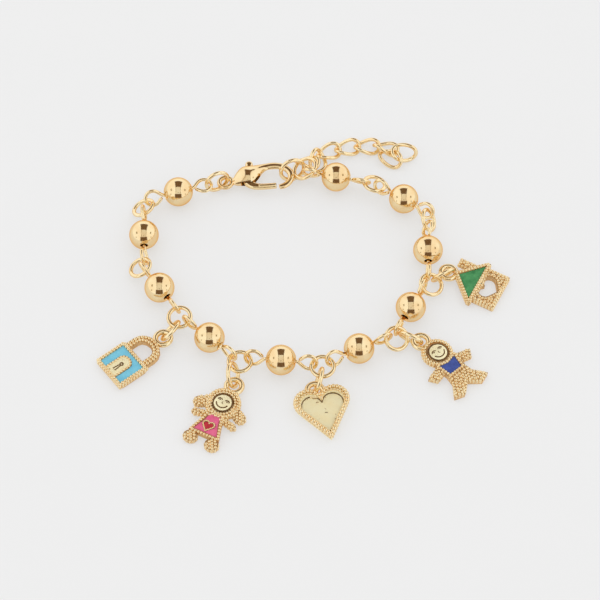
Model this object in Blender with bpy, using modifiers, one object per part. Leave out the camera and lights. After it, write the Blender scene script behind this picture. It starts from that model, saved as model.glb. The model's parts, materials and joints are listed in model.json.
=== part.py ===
"""A closed bracelet of round beads on eye pins, with a lobster clasp, a tail chain and five charms.

It lies on a level surface as it was put down, with the clasp shut on the catch ring.
X runs along its longest side, Z is up and it stands on Z = 0.
"""

import math

import bmesh
import bpy
from mathutils import Matrix, Vector

MM = 0.001

# Beads and the pins through them
BEAD_DIAMETER = 6.0 * MM
BEAD_BORE = 1.5 * MM
PIN_WIRE = 0.7 * MM
LOOP_RADIUS = 1.55 * MM
LOOP_DROP = 2.25 * MM
LOOP_MOUTH = 0.62 * MM
NECK_GAP = 0.2 * MM

# Rings
RING_WIRE = 0.8 * MM
LINK_RING_DIAMETER = 5.16 * MM
CHARM_RING_DIAMETER = 5.4 * MM
CLASP_RING_DIAMETER = 5.5 * MM
CATCH_RING_DIAMETER = 5.8 * MM

# Tail chain of twisted oval links
TAIL_WIRE = 0.7 * MM
TAIL_LINK_LENGTH = 5.7 * MM
TAIL_LINK_WIDTH = 4.0 * MM
TAIL_LINK_TWIST = 0.62 * MM

# Charms: their outlines are in shares of the module
CHARM_MODULE = 10.0 * MM
CHARM_THICKNESS = 1.3 * MM
CHARM_BORDER = 0.6 * MM
BAIL_DIAMETER = 4.0 * MM
BAIL_WIRE = 1.0 * MM
BAIL_LIFT = 0.17 * MM
POCKET_DEPTH = 0.45 * MM
ENAMEL_DIP = 0.08 * MM
ENAMEL_GAP = 0.05 * MM

# Clasp: its outlines are in shares of the module
CLASP_MODULE = 10.0 * MM
CLASP_FLATNESS = 0.7
CLASP_EYE_DIAMETER = 3.5 * MM
CLASP_EYE_WIRE = 0.9 * MM
SLOT_HEIGHT = 1.2 * MM
LEVER_THICKNESS = 1.0 * MM
GATE_ROD = 1.2 * MM
KNOB_DIAMETER = 1.6 * MM
KNOB_HEIGHT = 1.06 * MM
PIVOT_PIN = 0.8 * MM
PIVOT_HOLE = 1.0 * MM

# How finely round shapes are faceted
BEAD_STEPS = 16
BEAD_ARC_STEPS = 9
RING_STEPS = 14
LOOP_STEPS = 10
BAIL_STEPS = 12
SIX_SIDES = 1
EIGHT_SIDES = 2

# Lengths that follow from the sizes above
BEAD_RADIUS = BEAD_DIAMETER / 2
NECK = BEAD_RADIUS + NECK_GAP
LOOP_REACH = NECK + LOOP_DROP
LINK_RING_RADIUS = (LINK_RING_DIAMETER - RING_WIRE) / 2
CHARM_RING_RADIUS = (CHARM_RING_DIAMETER - RING_WIRE) / 2
CLASP_RING_RADIUS = (CLASP_RING_DIAMETER - RING_WIRE) / 2
CATCH_RING_RADIUS = (CATCH_RING_DIAMETER - RING_WIRE) / 2
BAIL_RADIUS = (BAIL_DIAMETER - BAIL_WIRE) / 2
BAIL_HEIGHT = RING_WIRE + BAIL_LIFT + BAIL_WIRE / 2
PITCH = 2 * (LOOP_REACH + LINK_RING_RADIUS + LOOP_RADIUS) - PIN_WIRE - RING_WIRE

# Each bead's place in shares of the pitch, the heading of its pin in degrees,
# and how far the loops before and after it are rolled from lying flat
BEADS = [
    # x, y, heading, roll before, roll after
    (0.440, 1.801, -12.0, 76, -62),
    (1.256, 1.463, -34.0, 106, -119),
    (1.525, 0.689, -91.0, -59, -97),
    (1.296, -0.143, -117.5, -93, 90),
    (0.682, -0.730, -154.5, 98, 116),
    (-0.219, -0.890, 174.0, -110, -67),
    (-1.049, -0.576, 138.0, -91, -97),
    (-1.654, 0.138, 125.0, 104, 78),
    (-1.868, 0.918, 93.0, -72, -99),
    (-1.477, 1.571, 18.0, 124, -1),
]

# Each link ring between two beads: its centre from the middle between the two loops, along the chain,
# outwards and up, in shares of its radius, and its axis as a lean from upright and a turn from the chain
LINK_RINGS = [
    # name, along, out, up, lean, turn
    ("link_ring_12", 0.20, 0.28, -0.20, 16, 63),
    ("link_ring_23", -0.07, 0.16, -0.17, 57, 77),
    ("link_ring_34", 0.14, 0.59, -0.35, 20, 72),
    ("link_ring_45", -0.08, 0.60, -0.34, 30, 73),
    ("link_ring_56", 0.00, 0.56, -0.16, 6, 87),
    ("link_ring_67", 0.01, 0.56, -0.23, 5, 72),
    ("link_ring_78", -0.05, 0.31, -0.20, 9, 119),
    ("link_ring_89", -0.24, 0.40, -0.36, 25, 77),
    ("link_ring_910", -0.12, 0.45, -0.38, 27, 89),
]

# Each charm: the link ring that carries it, its bail's place in shares of the pitch, the heading from its
# foot to its bail, how far its foot and its own axis lie from the bail in shares of the module, then its
# ring's centre from the middle between link ring and bail, along, across and up in shares of the ring's
# radius, with that ring's lean and turn
CHARMS = [
    # name, link ring, x, y, heading, foot, axis, along, across, up, lean, turn
    ("padlock", "link_ring_78", -1.593, -0.527, 37.7, 1.32, 0.0, 0.33, 0.19, 0.14, 56, -84),
    ("girl", "link_ring_67", -0.754, -1.192, 62.8, 1.47, 0.0, 0.33, -0.27, 0.26, 69, 92),
    ("heart", "link_ring_56", 0.170, -1.252, 103.5, 1.09, 0.07, 0.30, 0.11, 0.27, 76, -82),
    ("boy", "link_ring_45", 1.407, -0.574, 131.0, 1.44, 0.06, 0.15, 0.0, 0.32, 70, 67),
    ("house", "link_ring_34", 1.765, 0.422, 153.4, 1.14, 0.03, 0.30, -0.07, 0.31, 67, 75),
]

# The clasp's eye in shares of the pitch, its heading and how far its hook end is raised, in degrees
CLASP_PLACE = (-0.910, 1.783, 0.0925, 5.5, 2.2)

# Middle line of the clasp's body from the eye round the hook, with its radius, in shares of the module
CLASP_SPINE = [
    (0.135, 0.0, 0.062),
    (0.22, 0.01, 0.11),
    (0.33, 0.055, 0.182),
    (0.46, 0.115, 0.23),
    (0.59, 0.18, 0.185),
    (0.72, 0.25, 0.118),
    (0.86, 0.30, 0.08),
    (1.02, 0.31, 0.076),
    (1.17, 0.275, 0.074),
    (1.29, 0.19, 0.072),
    (1.355, 0.065, 0.07),
    (1.35, -0.06, 0.068),
    (1.29, -0.165, 0.066),
    (1.20, -0.23, 0.064),
    (1.09, -0.255, 0.06),
]
SLOT_OUTLINE = [(0.315, -0.3), (0.75, -0.3), (0.75, 0.09), (0.61, 0.16), (0.61, 0.52), (0.315, 0.52)]
PIVOT_PLACE = (0.445, 0.067)
LEVER_SPINE = [
    (0.52, 0.40, 0.06),
    (0.505, 0.28, 0.06),
    (0.475, 0.17, 0.08),
    (0.445, 0.067, 0.11),
    (0.475, -0.05, 0.105),
    (0.55, -0.145, 0.08),
    (0.68, -0.195, 0.062),
    (0.86, -0.21, 0.058),
    (1.035, -0.21, 0.052),
]

# The three rings at the clasp: centre in shares of the pitch, radius, and the axis's lean and turn
CLASP_RINGS = [
    # name, x, y, z, radius, lean, turn
    ("clasp_ring", -1.010, 1.744, 0.164, CLASP_RING_RADIUS, 86, -66),
    ("catch_ring", -0.093, 1.918, 0.171, CATCH_RING_RADIUS, 79, -71),
    ("tail_ring", 0.061, 1.960, 0.1455, CATCH_RING_RADIUS, 25.8, 181),
]

# The tail links: centre in shares of the pitch, then heading, pitch and roll in degrees
TAIL_LINKS = [
    # x, y, z, heading, pitch, roll
    (0.0813, 2.0985, 0.1014, -8.9, -0.3, -22.4),
    (0.2212, 2.1352, 0.0789, 87.9, 12.5, 22.0),
    (0.3571, 2.2894, 0.0581, 26.9, 1.6, 2.4),
    (0.5896, 2.3565, 0.0593, 14.0, 3.1, 4.6),
    (0.8321, 2.3743, 0.0593, 3.1, 0.2, 1.2),
    (1.0635, 2.3529, 0.0623, -8.2, -11.4, -18.3),
    (1.1198, 2.1827, 0.0747, -38.6, 3.4, 17.6),
    (1.2841, 2.2331, 0.1157, 2.4, -9.0, 44.6),
]


def new_collection(name, hidden=False):
    """A collection in the scene; a hidden one holds the shapes that only cut or join."""
    collection = bpy.data.collections.new(name)
    collection.hide_render = hidden
    bpy.context.scene.collection.children.link(collection)
    return collection


def new_material(name, colour, metallic, roughness, coat=0.0):
    material = bpy.data.materials.new(name)
    material.use_nodes = True
    shader = material.node_tree.nodes["Principled BSDF"]
    shader.inputs["Base Color"].default_value = (*colour, 1.0)
    shader.inputs["Metallic"].default_value = metallic
    shader.inputs["Roughness"].default_value = roughness
    shader.inputs["Coat Weight"].default_value = coat
    material.diffuse_color = (*colour, 1.0)
    return material


def clear_scene():
    for item in list(bpy.data.objects):
        bpy.data.objects.remove(item, do_unlink=True)


clear_scene()
PARTS = new_collection("charm_bracelet")
CUTTERS = new_collection("cutters", hidden=True)
GOLD = new_material("polished_gold", (0.90, 0.66, 0.38), 1.0, 0.12)
LIGHT_BLUE = new_material("light_blue_enamel", (0.20, 0.55, 0.72), 0.0, 0.15, 0.6)
PINK = new_material("pink_enamel", (0.75, 0.12, 0.26), 0.0, 0.15, 0.6)
RED = new_material("red_enamel", (0.52, 0.02, 0.04), 0.0, 0.15, 0.6)
ROYAL_BLUE = new_material("royal_blue_enamel", (0.05, 0.09, 0.34), 0.0, 0.15, 0.6)
GREEN = new_material("green_enamel", (0.03, 0.24, 0.08), 0.0, 0.15, 0.6)


def new_object(name, data, parent=None, material=GOLD, cutter=False):
    """Put a mesh or curve into the scene, as a piece or as a hidden cutter."""
    item = bpy.data.objects.new(name, data)
    (CUTTERS if cutter else PARTS).objects.link(item)
    item.parent = parent
    if cutter:
        item.hide_render = True
        item.display_type = "WIRE"
    else:
        data.materials.append(material)
    return item


def new_frame(name, matrix, parent=None):
    """An empty that carries the pieces built around it."""
    frame = bpy.data.objects.new(name, None)
    PARTS.objects.link(frame)
    frame.parent = parent
    frame.matrix_local = matrix
    return frame


def heading_vector(heading, pitch=0.0):
    turn, rise = math.radians(heading), math.radians(pitch)
    return Vector((math.cos(turn) * math.cos(rise), math.sin(turn) * math.cos(rise), math.sin(rise)))


def across_of(along):
    """The level direction to the left of another one."""
    return Vector((-along.y, along.x, 0.0)).normalized()


def leaning_axis(along, lean, turn):
    """A unit axis that leans from upright, towards a turn counted from the direction along."""
    tip, spin = math.radians(lean), math.radians(turn)
    level = math.cos(spin) * along + math.sin(spin) * across_of(along)
    return (math.sin(tip) * level + Vector((0.0, 0.0, math.cos(tip)))).normalized()


def level_direction(start, end):
    gap = end - start
    return Vector((gap.x, gap.y, 0.0)).normalized()


def frame_matrix(place, x_axis, y_axis):
    z_axis = x_axis.cross(y_axis)
    turn = Matrix((x_axis, y_axis, z_axis)).transposed()
    return Matrix.Translation(place) @ turn.to_4x4()


def circle_points(radius, steps, x=0.0, y=0.0, height=None):
    """Points of a circle, or of an oval when a height radius is given."""
    height = radius if height is None else height
    turns = [2 * math.pi * step / steps for step in range(steps)]
    return [(x + radius * math.cos(turn), y + height * math.sin(turn)) for turn in turns]


def arc_points(radius, height, y, steps):
    """Upper half of an oval about (0, y), from its right end over the top to its left end."""
    turns = [math.pi * step / steps for step in range(steps + 1)]
    return [(radius * math.cos(turn), y + height * math.sin(turn)) for turn in turns]


def capsule_points(start, end, radius, steps):
    """Outline of a bar with round ends."""
    start, end = Vector(start), Vector(end)
    base = math.atan2(end.y - start.y, end.x - start.x)
    points = []
    for centre, first in ((end, base - math.pi / 2), (start, base + math.pi / 2)):
        for step in range(steps + 1):
            turn = first + math.pi * step / steps
            points.append((centre.x + radius * math.cos(turn), centre.y + radius * math.sin(turn)))
    return points


def heart_points(width, top, cleft, tip, steps, x=0.0):
    """Heart outline: two round lobes that meet at the cleft, and straight sides down to the tip."""
    half, rise = width / 2, top - cleft
    lobe = half + rise - math.sqrt(2 * half * rise)
    side, level = half - lobe, top - lobe
    first = math.atan2(cleft - level, -side)
    reach = math.hypot(side, level - tip)
    last = math.atan2(tip - level, -side) + math.acos(lobe / reach)
    if first < last:
        first += 2 * math.pi
    turns = [first + (last - first) * step / steps for step in range(steps + 1)]
    right = [(side + lobe * math.cos(turn), level + lobe * math.sin(turn)) for turn in turns]
    left = [(-px, py) for px, py in reversed(right[1:])]
    return [(px + x, py) for px, py in right + [(0.0, tip)] + left]


def rounded_box_points(left, bottom, right, top, corner, steps):
    points = []
    for x, y, first in (
        (right - corner, top - corner, 0.0),
        (left + corner, top - corner, math.pi / 2),
        (left + corner, bottom + corner, math.pi),
        (right - corner, bottom + corner, 1.5 * math.pi),
    ):
        for step in range(steps + 1):
            turn = first + math.pi / 2 * step / steps
            points.append((x + corner * math.cos(turn), y + corner * math.sin(turn)))
    return points


def ribbon_points(spine):
    """Outline of a bar whose half width changes along its spine of (x, y, half width) points."""
    left, right = [], []
    for index, (x, y, half) in enumerate(spine):
        before = spine[max(index - 1, 0)]
        after = spine[min(index + 1, len(spine) - 1)]
        run = Vector((after[0] - before[0], after[1] - before[1])).normalized()
        left.append((x - run.y * half, y + run.x * half))
        right.append((x + run.y * half, y - run.x * half))
    return left + right[::-1]


def scaled(points, size, shift=0.0):
    return [(x * size + shift, y * size) for x, y in points]


def inset(points, distance):
    """Move an outline inwards, each side by the distance; a negative one moves it outwards."""
    area = sum(a[0] * b[1] - b[0] * a[1] for a, b in zip(points, points[1:] + points[:1]))
    turn = 1.0 if area > 0 else -1.0
    moved = []
    for before, here, after in zip(points[-1:] + points[:-1], points, points[1:] + points[:1]):
        sides = []
        for start, end in ((before, here), (here, after)):
            run = Vector((end[0] - start[0], end[1] - start[1])).normalized()
            sides.append(Vector((-run.y, run.x)) * turn)
        middle = (sides[0] + sides[1]).normalized()
        reach = distance / max(middle.dot(sides[0]), 0.35)
        moved.append((here[0] + middle.x * reach, here[1] + middle.y * reach))
    return moved


def mesh_from_curve(name, curve, shift=(0.0, 0.0, 0.0)):
    """Turn a curve into a closed mesh with outward faces and remove the curve."""
    helper = bpy.data.objects.new(name, curve)
    bpy.context.scene.collection.objects.link(helper)
    graph = bpy.context.evaluated_depsgraph_get()
    mesh = bpy.data.meshes.new_from_object(helper.evaluated_get(graph))
    bpy.data.objects.remove(helper, do_unlink=True)
    mesh.name = name
    work = bmesh.new()
    work.from_mesh(mesh)
    bmesh.ops.remove_doubles(work, verts=work.verts, dist=0.001 * MM)
    bmesh.ops.translate(work, verts=work.verts, vec=shift)
    bmesh.ops.recalc_face_normals(work, faces=work.faces)
    work.to_mesh(mesh)
    work.free()
    mesh.materials.clear()
    return mesh


def flat_mesh(name, outlines, bottom, top):
    """A plate with the given outlines, the inner ones being holes, between two levels."""
    curve = bpy.data.curves.new(name, "CURVE")
    curve.dimensions = "2D"
    curve.fill_mode = "BOTH"
    curve.extrude = (top - bottom) / 2
    for outline in outlines:
        spline = curve.splines.new("POLY")
        spline.points.add(len(outline) - 1)
        for point, (x, y) in zip(spline.points, outline):
            point.co = (x, y, 0.0, 1.0)
        spline.use_cyclic_u = True
    return mesh_from_curve(name, curve, (0.0, 0.0, (bottom + top) / 2))


def wire_curve(name, points, radii, closed, sides=SIX_SIDES):
    """A round wire along the points; its radius may change from point to point."""
    thickest = max(radii)
    curve = bpy.data.curves.new(name, "CURVE")
    curve.dimensions = "3D"
    curve.fill_mode = "FULL"
    curve.bevel_depth = thickest
    curve.bevel_resolution = sides
    curve.use_fill_caps = not closed
    spline = curve.splines.new("POLY")
    spline.points.add(len(points) - 1)
    for point, place, radius in zip(spline.points, points, radii):
        point.co = (*place, 1.0)
        point.radius = radius / thickest
    spline.use_cyclic_u = closed
    spline.use_smooth = True
    return curve


def wire_mesh(name, points, radii, closed, sides=SIX_SIDES):
    return mesh_from_curve(name, wire_curve(name, points, radii, closed, sides))


def boolean(target, operation, name, mesh):
    """Join a helper shape to a piece or cut it away, in the piece's own frame."""
    helper = new_object(name, mesh, target.parent, cutter=True)
    helper.location = target.location
    modifier = target.modifiers.new(name, "BOOLEAN")
    modifier.operation = operation
    modifier.solver = "EXACT"
    modifier.object = helper


def ring(name, centre, axis, radius, wire):
    """A closed round ring about an axis."""
    first = axis.orthogonal().normalized()
    second = axis.cross(first)
    turns = [2 * math.pi * step / RING_STEPS for step in range(RING_STEPS)]
    points = [radius * (math.cos(turn) * first + math.sin(turn) * second) for turn in turns]
    item = new_object(name, wire_curve(name, points, [wire / 2] * RING_STEPS, True))
    item.location = centre
    return item


# Beads and eye pins


def loop_points(bead, out, roll):
    """The eye at one end of a pin: hub of its hole, and its wire from the cut end round to the neck."""
    side = across_of(out)
    up = out.cross(side)
    lay = math.cos(math.radians(roll)) * side + math.sin(math.radians(roll)) * up
    hub, neck = bead + LOOP_REACH * out, bead + NECK * out
    sweep = math.pi - math.acos(LOOP_RADIUS / LOOP_DROP)
    turns = [sweep * (2 * step / LOOP_STEPS - 1) for step in range(LOOP_STEPS + 1)]
    arc = [hub + LOOP_RADIUS * (math.cos(turn) * out + math.sin(turn) * lay) for turn in turns]
    cut_end = neck + LOOP_MOUTH * (arc[0] - neck).normalized()
    return hub, [cut_end, *arc, neck]


def bead_mesh():
    """A drilled ball turned about its bore."""
    limit = math.acos(BEAD_BORE / BEAD_DIAMETER)
    turns = [limit * (1 - 2 * step / BEAD_ARC_STEPS) for step in range(BEAD_ARC_STEPS + 1)]
    profile = [(BEAD_RADIUS * math.cos(turn), 0.0, BEAD_RADIUS * math.sin(turn)) for turn in turns]
    mesh = bpy.data.meshes.new("bead")
    count = len(profile)
    mesh.from_pydata(profile, [(index, (index + 1) % count) for index in range(count)], [])
    return mesh


def build_beads():
    """Ten drilled beads on their pins; gives the hub of each pin's two loops."""
    hubs = []
    mesh = bead_mesh()
    for number, (x, y, heading, roll_before, roll_after) in enumerate(BEADS, start=1):
        place = Vector((x * PITCH, y * PITCH, BEAD_RADIUS))
        along = heading_vector(heading)
        bead = new_object(f"bead_{number:02d}", mesh.copy())
        bead.matrix_local = frame_matrix(place, Vector((0.0, 0.0, 1.0)), across_of(-along))
        screw = bead.modifiers.new("turn", "SCREW")
        screw.steps = screw.render_steps = BEAD_STEPS
        screw.use_merge_vertices = True
        screw.merge_threshold = 0.01 * MM
        screw.use_smooth_shade = True
        before, first = loop_points(place, -along, roll_before)
        after, last = loop_points(place, along, roll_after)
        points = [*first, *reversed(last)]
        name = f"eye_pin_{number:02d}"
        new_object(name, wire_curve(name, points, [PIN_WIRE / 2] * len(points), False))
        hubs.append((before, after))
    bpy.data.meshes.remove(mesh)
    return hubs


def build_link_rings(hubs):
    """The nine rings between neighbouring pins; gives their centres by name."""
    centres = {}
    for index, (name, along_share, out_share, up_share, lean, turn) in enumerate(LINK_RINGS):
        start, end = hubs[index][1], hubs[index + 1][0]
        along = level_direction(start, end)
        offset = along_share * along + out_share * across_of(along) + Vector((0.0, 0.0, up_share))
        centre = (start + end) / 2 + LINK_RING_RADIUS * offset
        ring(name, centre, leaning_axis(along, lean, turn), LINK_RING_RADIUS, RING_WIRE)
        centres[name] = centre
    return centres


# Charms: each in a frame with its bail at the origin, up towards the bail and its face forward

FRONT = CHARM_THICKNESS / 2
BACK = -CHARM_THICKNESS / 2
POCKET_FLOOR = FRONT - POCKET_DEPTH
STEP = 0.1 * MM


def plate(name, frame, outline, bottom, top):
    return new_object(name, flat_mesh(name, [outline], bottom, top), frame)


def add_plate(piece, name, outlines, bottom, top):
    boolean(piece, "UNION", name, flat_mesh(name, outlines, bottom, top))


def add_bail(piece, name):
    """The round bail cast on the top of a charm, in the charm's own plane."""
    points = [(x, y, 0.0) for x, y in circle_points(BAIL_RADIUS, BAIL_STEPS)]
    boolean(piece, "UNION", name, wire_mesh(name, points, [BAIL_WIRE / 2] * BAIL_STEPS, True))


def cut_pocket(piece, name, outlines, depth=POCKET_DEPTH):
    boolean(piece, "DIFFERENCE", name, flat_mesh(name, outlines, FRONT - depth, FRONT + STEP))


def enamel(name, frame, outlines, material):
    """Enamel that fills a pocket up to just below its rim; the first outline is the outer one."""
    fitted = [inset(outline, gap) for outline, gap in zip(outlines, [ENAMEL_GAP, -ENAMEL_GAP])]
    mesh = flat_mesh(name, fitted, POCKET_FLOOR + ENAMEL_GAP, FRONT - ENAMEL_DIP)
    return new_object(name, mesh, frame, material)


def build_padlock(frame, axis):
    """A square padlock with a keyhole plate on a blue field, and an open shackle."""
    half, bottom, top = 0.395, -1.32, -0.65
    module = CHARM_MODULE
    body_outline = scaled(rounded_box_points(-half, bottom, half, top, 0.08, 2), module, axis)
    body = plate("charm_padlock", frame, body_outline, BACK, FRONT)
    outer_half, inner_half, shoulder = 0.34, 0.20, -0.46
    shackle = [
        (outer_half, top - 0.06),
        *arc_points(outer_half, 0.30, shoulder, 8),
        (-outer_half, top - 0.06),
        (-inner_half, top - 0.06),
        *reversed(arc_points(inner_half, 0.15, shoulder, 6)),
        (inner_half, top - 0.06),
    ]
    add_plate(body, "padlock_shackle", [scaled(shackle, module, axis)], BACK + STEP, FRONT - STEP)
    add_bail(body, "padlock_bail")
    rim = CHARM_BORDER / module
    left, right = -half + rim, half - rim
    plate_half, plate_top = 0.165, -0.92
    field = [
        (right, bottom + rim),
        (right, top - rim),
        (left, top - rim),
        (left, bottom + rim),
        (-plate_half, bottom + rim),
        *reversed(arc_points(plate_half, 0.13, plate_top, 6)),
        (plate_half, bottom + rim),
    ]
    field = scaled(field, module, axis)
    cut_pocket(body, "padlock_field", [field])
    keyhole = [
        (0.045, -1.14),
        (0.03, -1.01),
        *arc_points(0.055, 0.055, -0.97, 6),
        (-0.03, -1.01),
        (-0.045, -1.14),
    ]
    cut_pocket(body, "padlock_keyhole", [scaled(keyhole, module, axis)], POCKET_DEPTH)
    enamel("padlock_enamel", frame, [field], LIGHT_BLUE)


def build_girl(frame, axis):
    """A girl with two pigtails and spread arms in a pink dress with a red heart."""
    module = CHARM_MODULE
    dress = [(0.17, -0.70), (-0.17, -0.70), (-0.21, -0.91), (-0.32, -1.24), (0.32, -1.24), (0.21, -0.91)]
    body = plate("charm_girl", frame, scaled(dress, module, axis), BACK + STEP, FRONT)
    head = scaled(circle_points(0.335, 20, 0.0, -0.45), module, axis)
    add_plate(body, "girl_head", [head], BACK + 1.5 * STEP, FRONT - 3 * STEP)
    face = scaled(circle_points(0.195, 14, 0.0, -0.46), module, axis)
    add_plate(body, "girl_face", [face], 0.0, FRONT - STEP / 2)
    for side, name in ((1, "right"), (-1, "left")):
        tail = capsule_points((0.24 * side, -0.49), (0.45 * side, -0.60), 0.105, 5)
        tail = scaled(tail, module, axis)
        add_plate(body, f"girl_pigtail_{name}", [tail], BACK + 2 * STEP, FRONT - 2 * STEP)
        arm = capsule_points((0.10 * side, -0.76), (0.42 * side, -0.83), 0.055, 3)
        arm = scaled(arm, module, axis)
        add_plate(body, f"girl_arm_{name}", [arm], BACK + 2.5 * STEP, FRONT - 2.5 * STEP)
        foot = circle_points(0.14, 10, 0.23 * side, -1.35, 0.12)
        add_plate(body, f"girl_foot_{name}", [scaled(foot, module, axis)], BACK, FRONT - 1.5 * STEP)
    add_bail(body, "girl_bail")
    inner = [(0.11, -0.75), (-0.11, -0.75), (-0.15, -0.92), (-0.25, -1.18), (0.25, -1.18), (0.15, -0.92)]
    field = scaled(inner, module, axis)
    heart = scaled(heart_points(0.20, -0.945, -0.985, -1.115, 6, -0.02), module, axis)
    heart_rim = scaled(heart_points(0.27, -0.915, -0.955, -1.155, 6, -0.02), module, axis)
    cut_pocket(body, "girl_dress", [field, heart_rim])
    cut_pocket(body, "girl_heart", [heart])
    enamel("dress_enamel", frame, [field, heart_rim], PINK)
    enamel("dress_heart_enamel", frame, [heart], RED)


def build_heart(frame, axis):
    """A broad heart with a raised rope border round a sunk plate."""
    module = CHARM_MODULE
    outline = scaled(heart_points(1.07, 0.02, -0.175, -1.09, 11), module, axis)
    body = plate("charm_heart", frame, outline, BACK, FRONT)
    notch = circle_points(BAIL_RADIUS - BAIL_WIRE / 4, BAIL_STEPS)
    boolean(body, "DIFFERENCE", "heart_notch", flat_mesh("heart_notch", [notch], 2 * BACK, 2 * FRONT))
    add_bail(body, "heart_bail")
    inner = scaled(heart_points(0.84, -0.125, -0.275, -0.965, 10), module, axis)
    cut_pocket(body, "heart_plate", [inner])


def build_boy(frame, axis):
    """A boy with spread arms and legs in a blue shirt."""
    module = CHARM_MODULE
    torso = [(0.26, -0.62), (-0.26, -0.62), (-0.23, -0.80), (-0.22, -0.99), (0.22, -0.99), (0.23, -0.80)]
    body = plate("charm_boy", frame, scaled(torso, module, axis), BACK + STEP, FRONT)
    head = scaled(circle_points(0.30, 20, 0.0, -0.40), module, axis)
    add_plate(body, "boy_head", [head], BACK + 1.5 * STEP, FRONT - 3 * STEP)
    face = scaled(circle_points(0.20, 14, 0.0, -0.42), module, axis)
    add_plate(body, "boy_face", [face], 0.0, FRONT - STEP / 2)
    for side, name in ((1, "right"), (-1, "left")):
        arm = [(0.20, -0.63), (0.55, -0.74), (0.44, -0.90), (0.20, -0.84)]
        arm = [(x * side, y) for x, y in arm]
        add_plate(body, f"boy_arm_{name}", [scaled(arm, module, axis)], BACK + 2 * STEP, FRONT - 2 * STEP)
    legs = [
        (0.22, -0.94),
        (-0.22, -0.94),
        (-0.25, -1.12),
        (-0.44, -1.37),
        (-0.23, -1.44),
        (0.0, -1.26),
        (0.23, -1.44),
        (0.44, -1.37),
        (0.25, -1.12),
    ]
    add_plate(body, "boy_legs", [scaled(legs, module, axis)], BACK, FRONT - STEP)
    add_bail(body, "boy_bail")
    shirt = [
        (0.20, -0.66),
        (0.0, -0.71),
        (-0.20, -0.66),
        (-0.17, -0.79),
        (-0.145, -0.93),
        (0.145, -0.93),
        (0.17, -0.79),
    ]
    field = scaled(shirt, module, axis)
    cut_pocket(body, "boy_shirt", [field])
    enamel("shirt_enamel", frame, [field], ROYAL_BLUE)


def build_house(frame, axis):
    """A house with a chimney, a green roof and a heart cut through its wall."""
    module = CHARM_MODULE
    wall = [(0.42, -1.14), (0.42, -0.60), (-0.42, -0.60), (-0.42, -1.14)]
    body = plate("charm_house", frame, scaled(wall, module, axis), BACK, FRONT - STEP)
    roof = scaled([(0.0, -0.11), (-0.53, -0.61), (-0.53, -0.68), (0.53, -0.68), (0.53, -0.61)], module, axis)
    add_plate(body, "house_roof", [roof], BACK + STEP, FRONT)
    chimney = scaled([(0.22, -0.10), (0.22, -0.40), (0.38, -0.52), (0.38, -0.10)], module, axis)
    add_plate(body, "house_chimney", [chimney], BACK + 2 * STEP, FRONT - 2 * STEP)
    add_bail(body, "house_bail")
    field = scaled([(0.0, -0.21), (-0.44, -0.615), (0.44, -0.615)], module, axis)
    cut_pocket(body, "house_field", [field])
    window = scaled(heart_points(0.50, -0.70, -0.78, -1.06, 8), module, axis)
    boolean(body, "DIFFERENCE", "house_window", flat_mesh("house_window", [window], 2 * BACK, 2 * FRONT))
    enamel("roof_enamel", frame, [field], GREEN)


BUILDERS = {
    "padlock": build_padlock,
    "girl": build_girl,
    "heart": build_heart,
    "boy": build_boy,
    "house": build_house,
}


def build_charms(ring_centres):
    """The five charms, tipped so that their foot rests on the ground, and the rings that carry them."""
    for name, carrier, x, y, heading, foot, axis, along_share, across_share, up_share, lean, turn in CHARMS:
        bail = Vector((x * PITCH, y * PITCH, BAIL_HEIGHT))
        reach = foot * CHARM_MODULE
        tilt = math.asin(BAIL_HEIGHT / math.hypot(reach, FRONT)) - math.atan(FRONT / reach)
        up = heading_vector(heading, math.degrees(tilt))
        frame = new_frame(f"{name}_frame", frame_matrix(bail, -across_of(up), up))
        BUILDERS[name](frame, axis * CHARM_MODULE)
        along = level_direction(ring_centres[carrier], bail)
        offset = along_share * along + across_share * across_of(along) + Vector((0.0, 0.0, up_share))
        centre = (ring_centres[carrier] + bail) / 2 + CHARM_RING_RADIUS * offset
        ring(f"charm_ring_{name}", centre, leaning_axis(along, lean, turn), CHARM_RING_RADIUS, RING_WIRE)


# Clasp and tail chain


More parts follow.
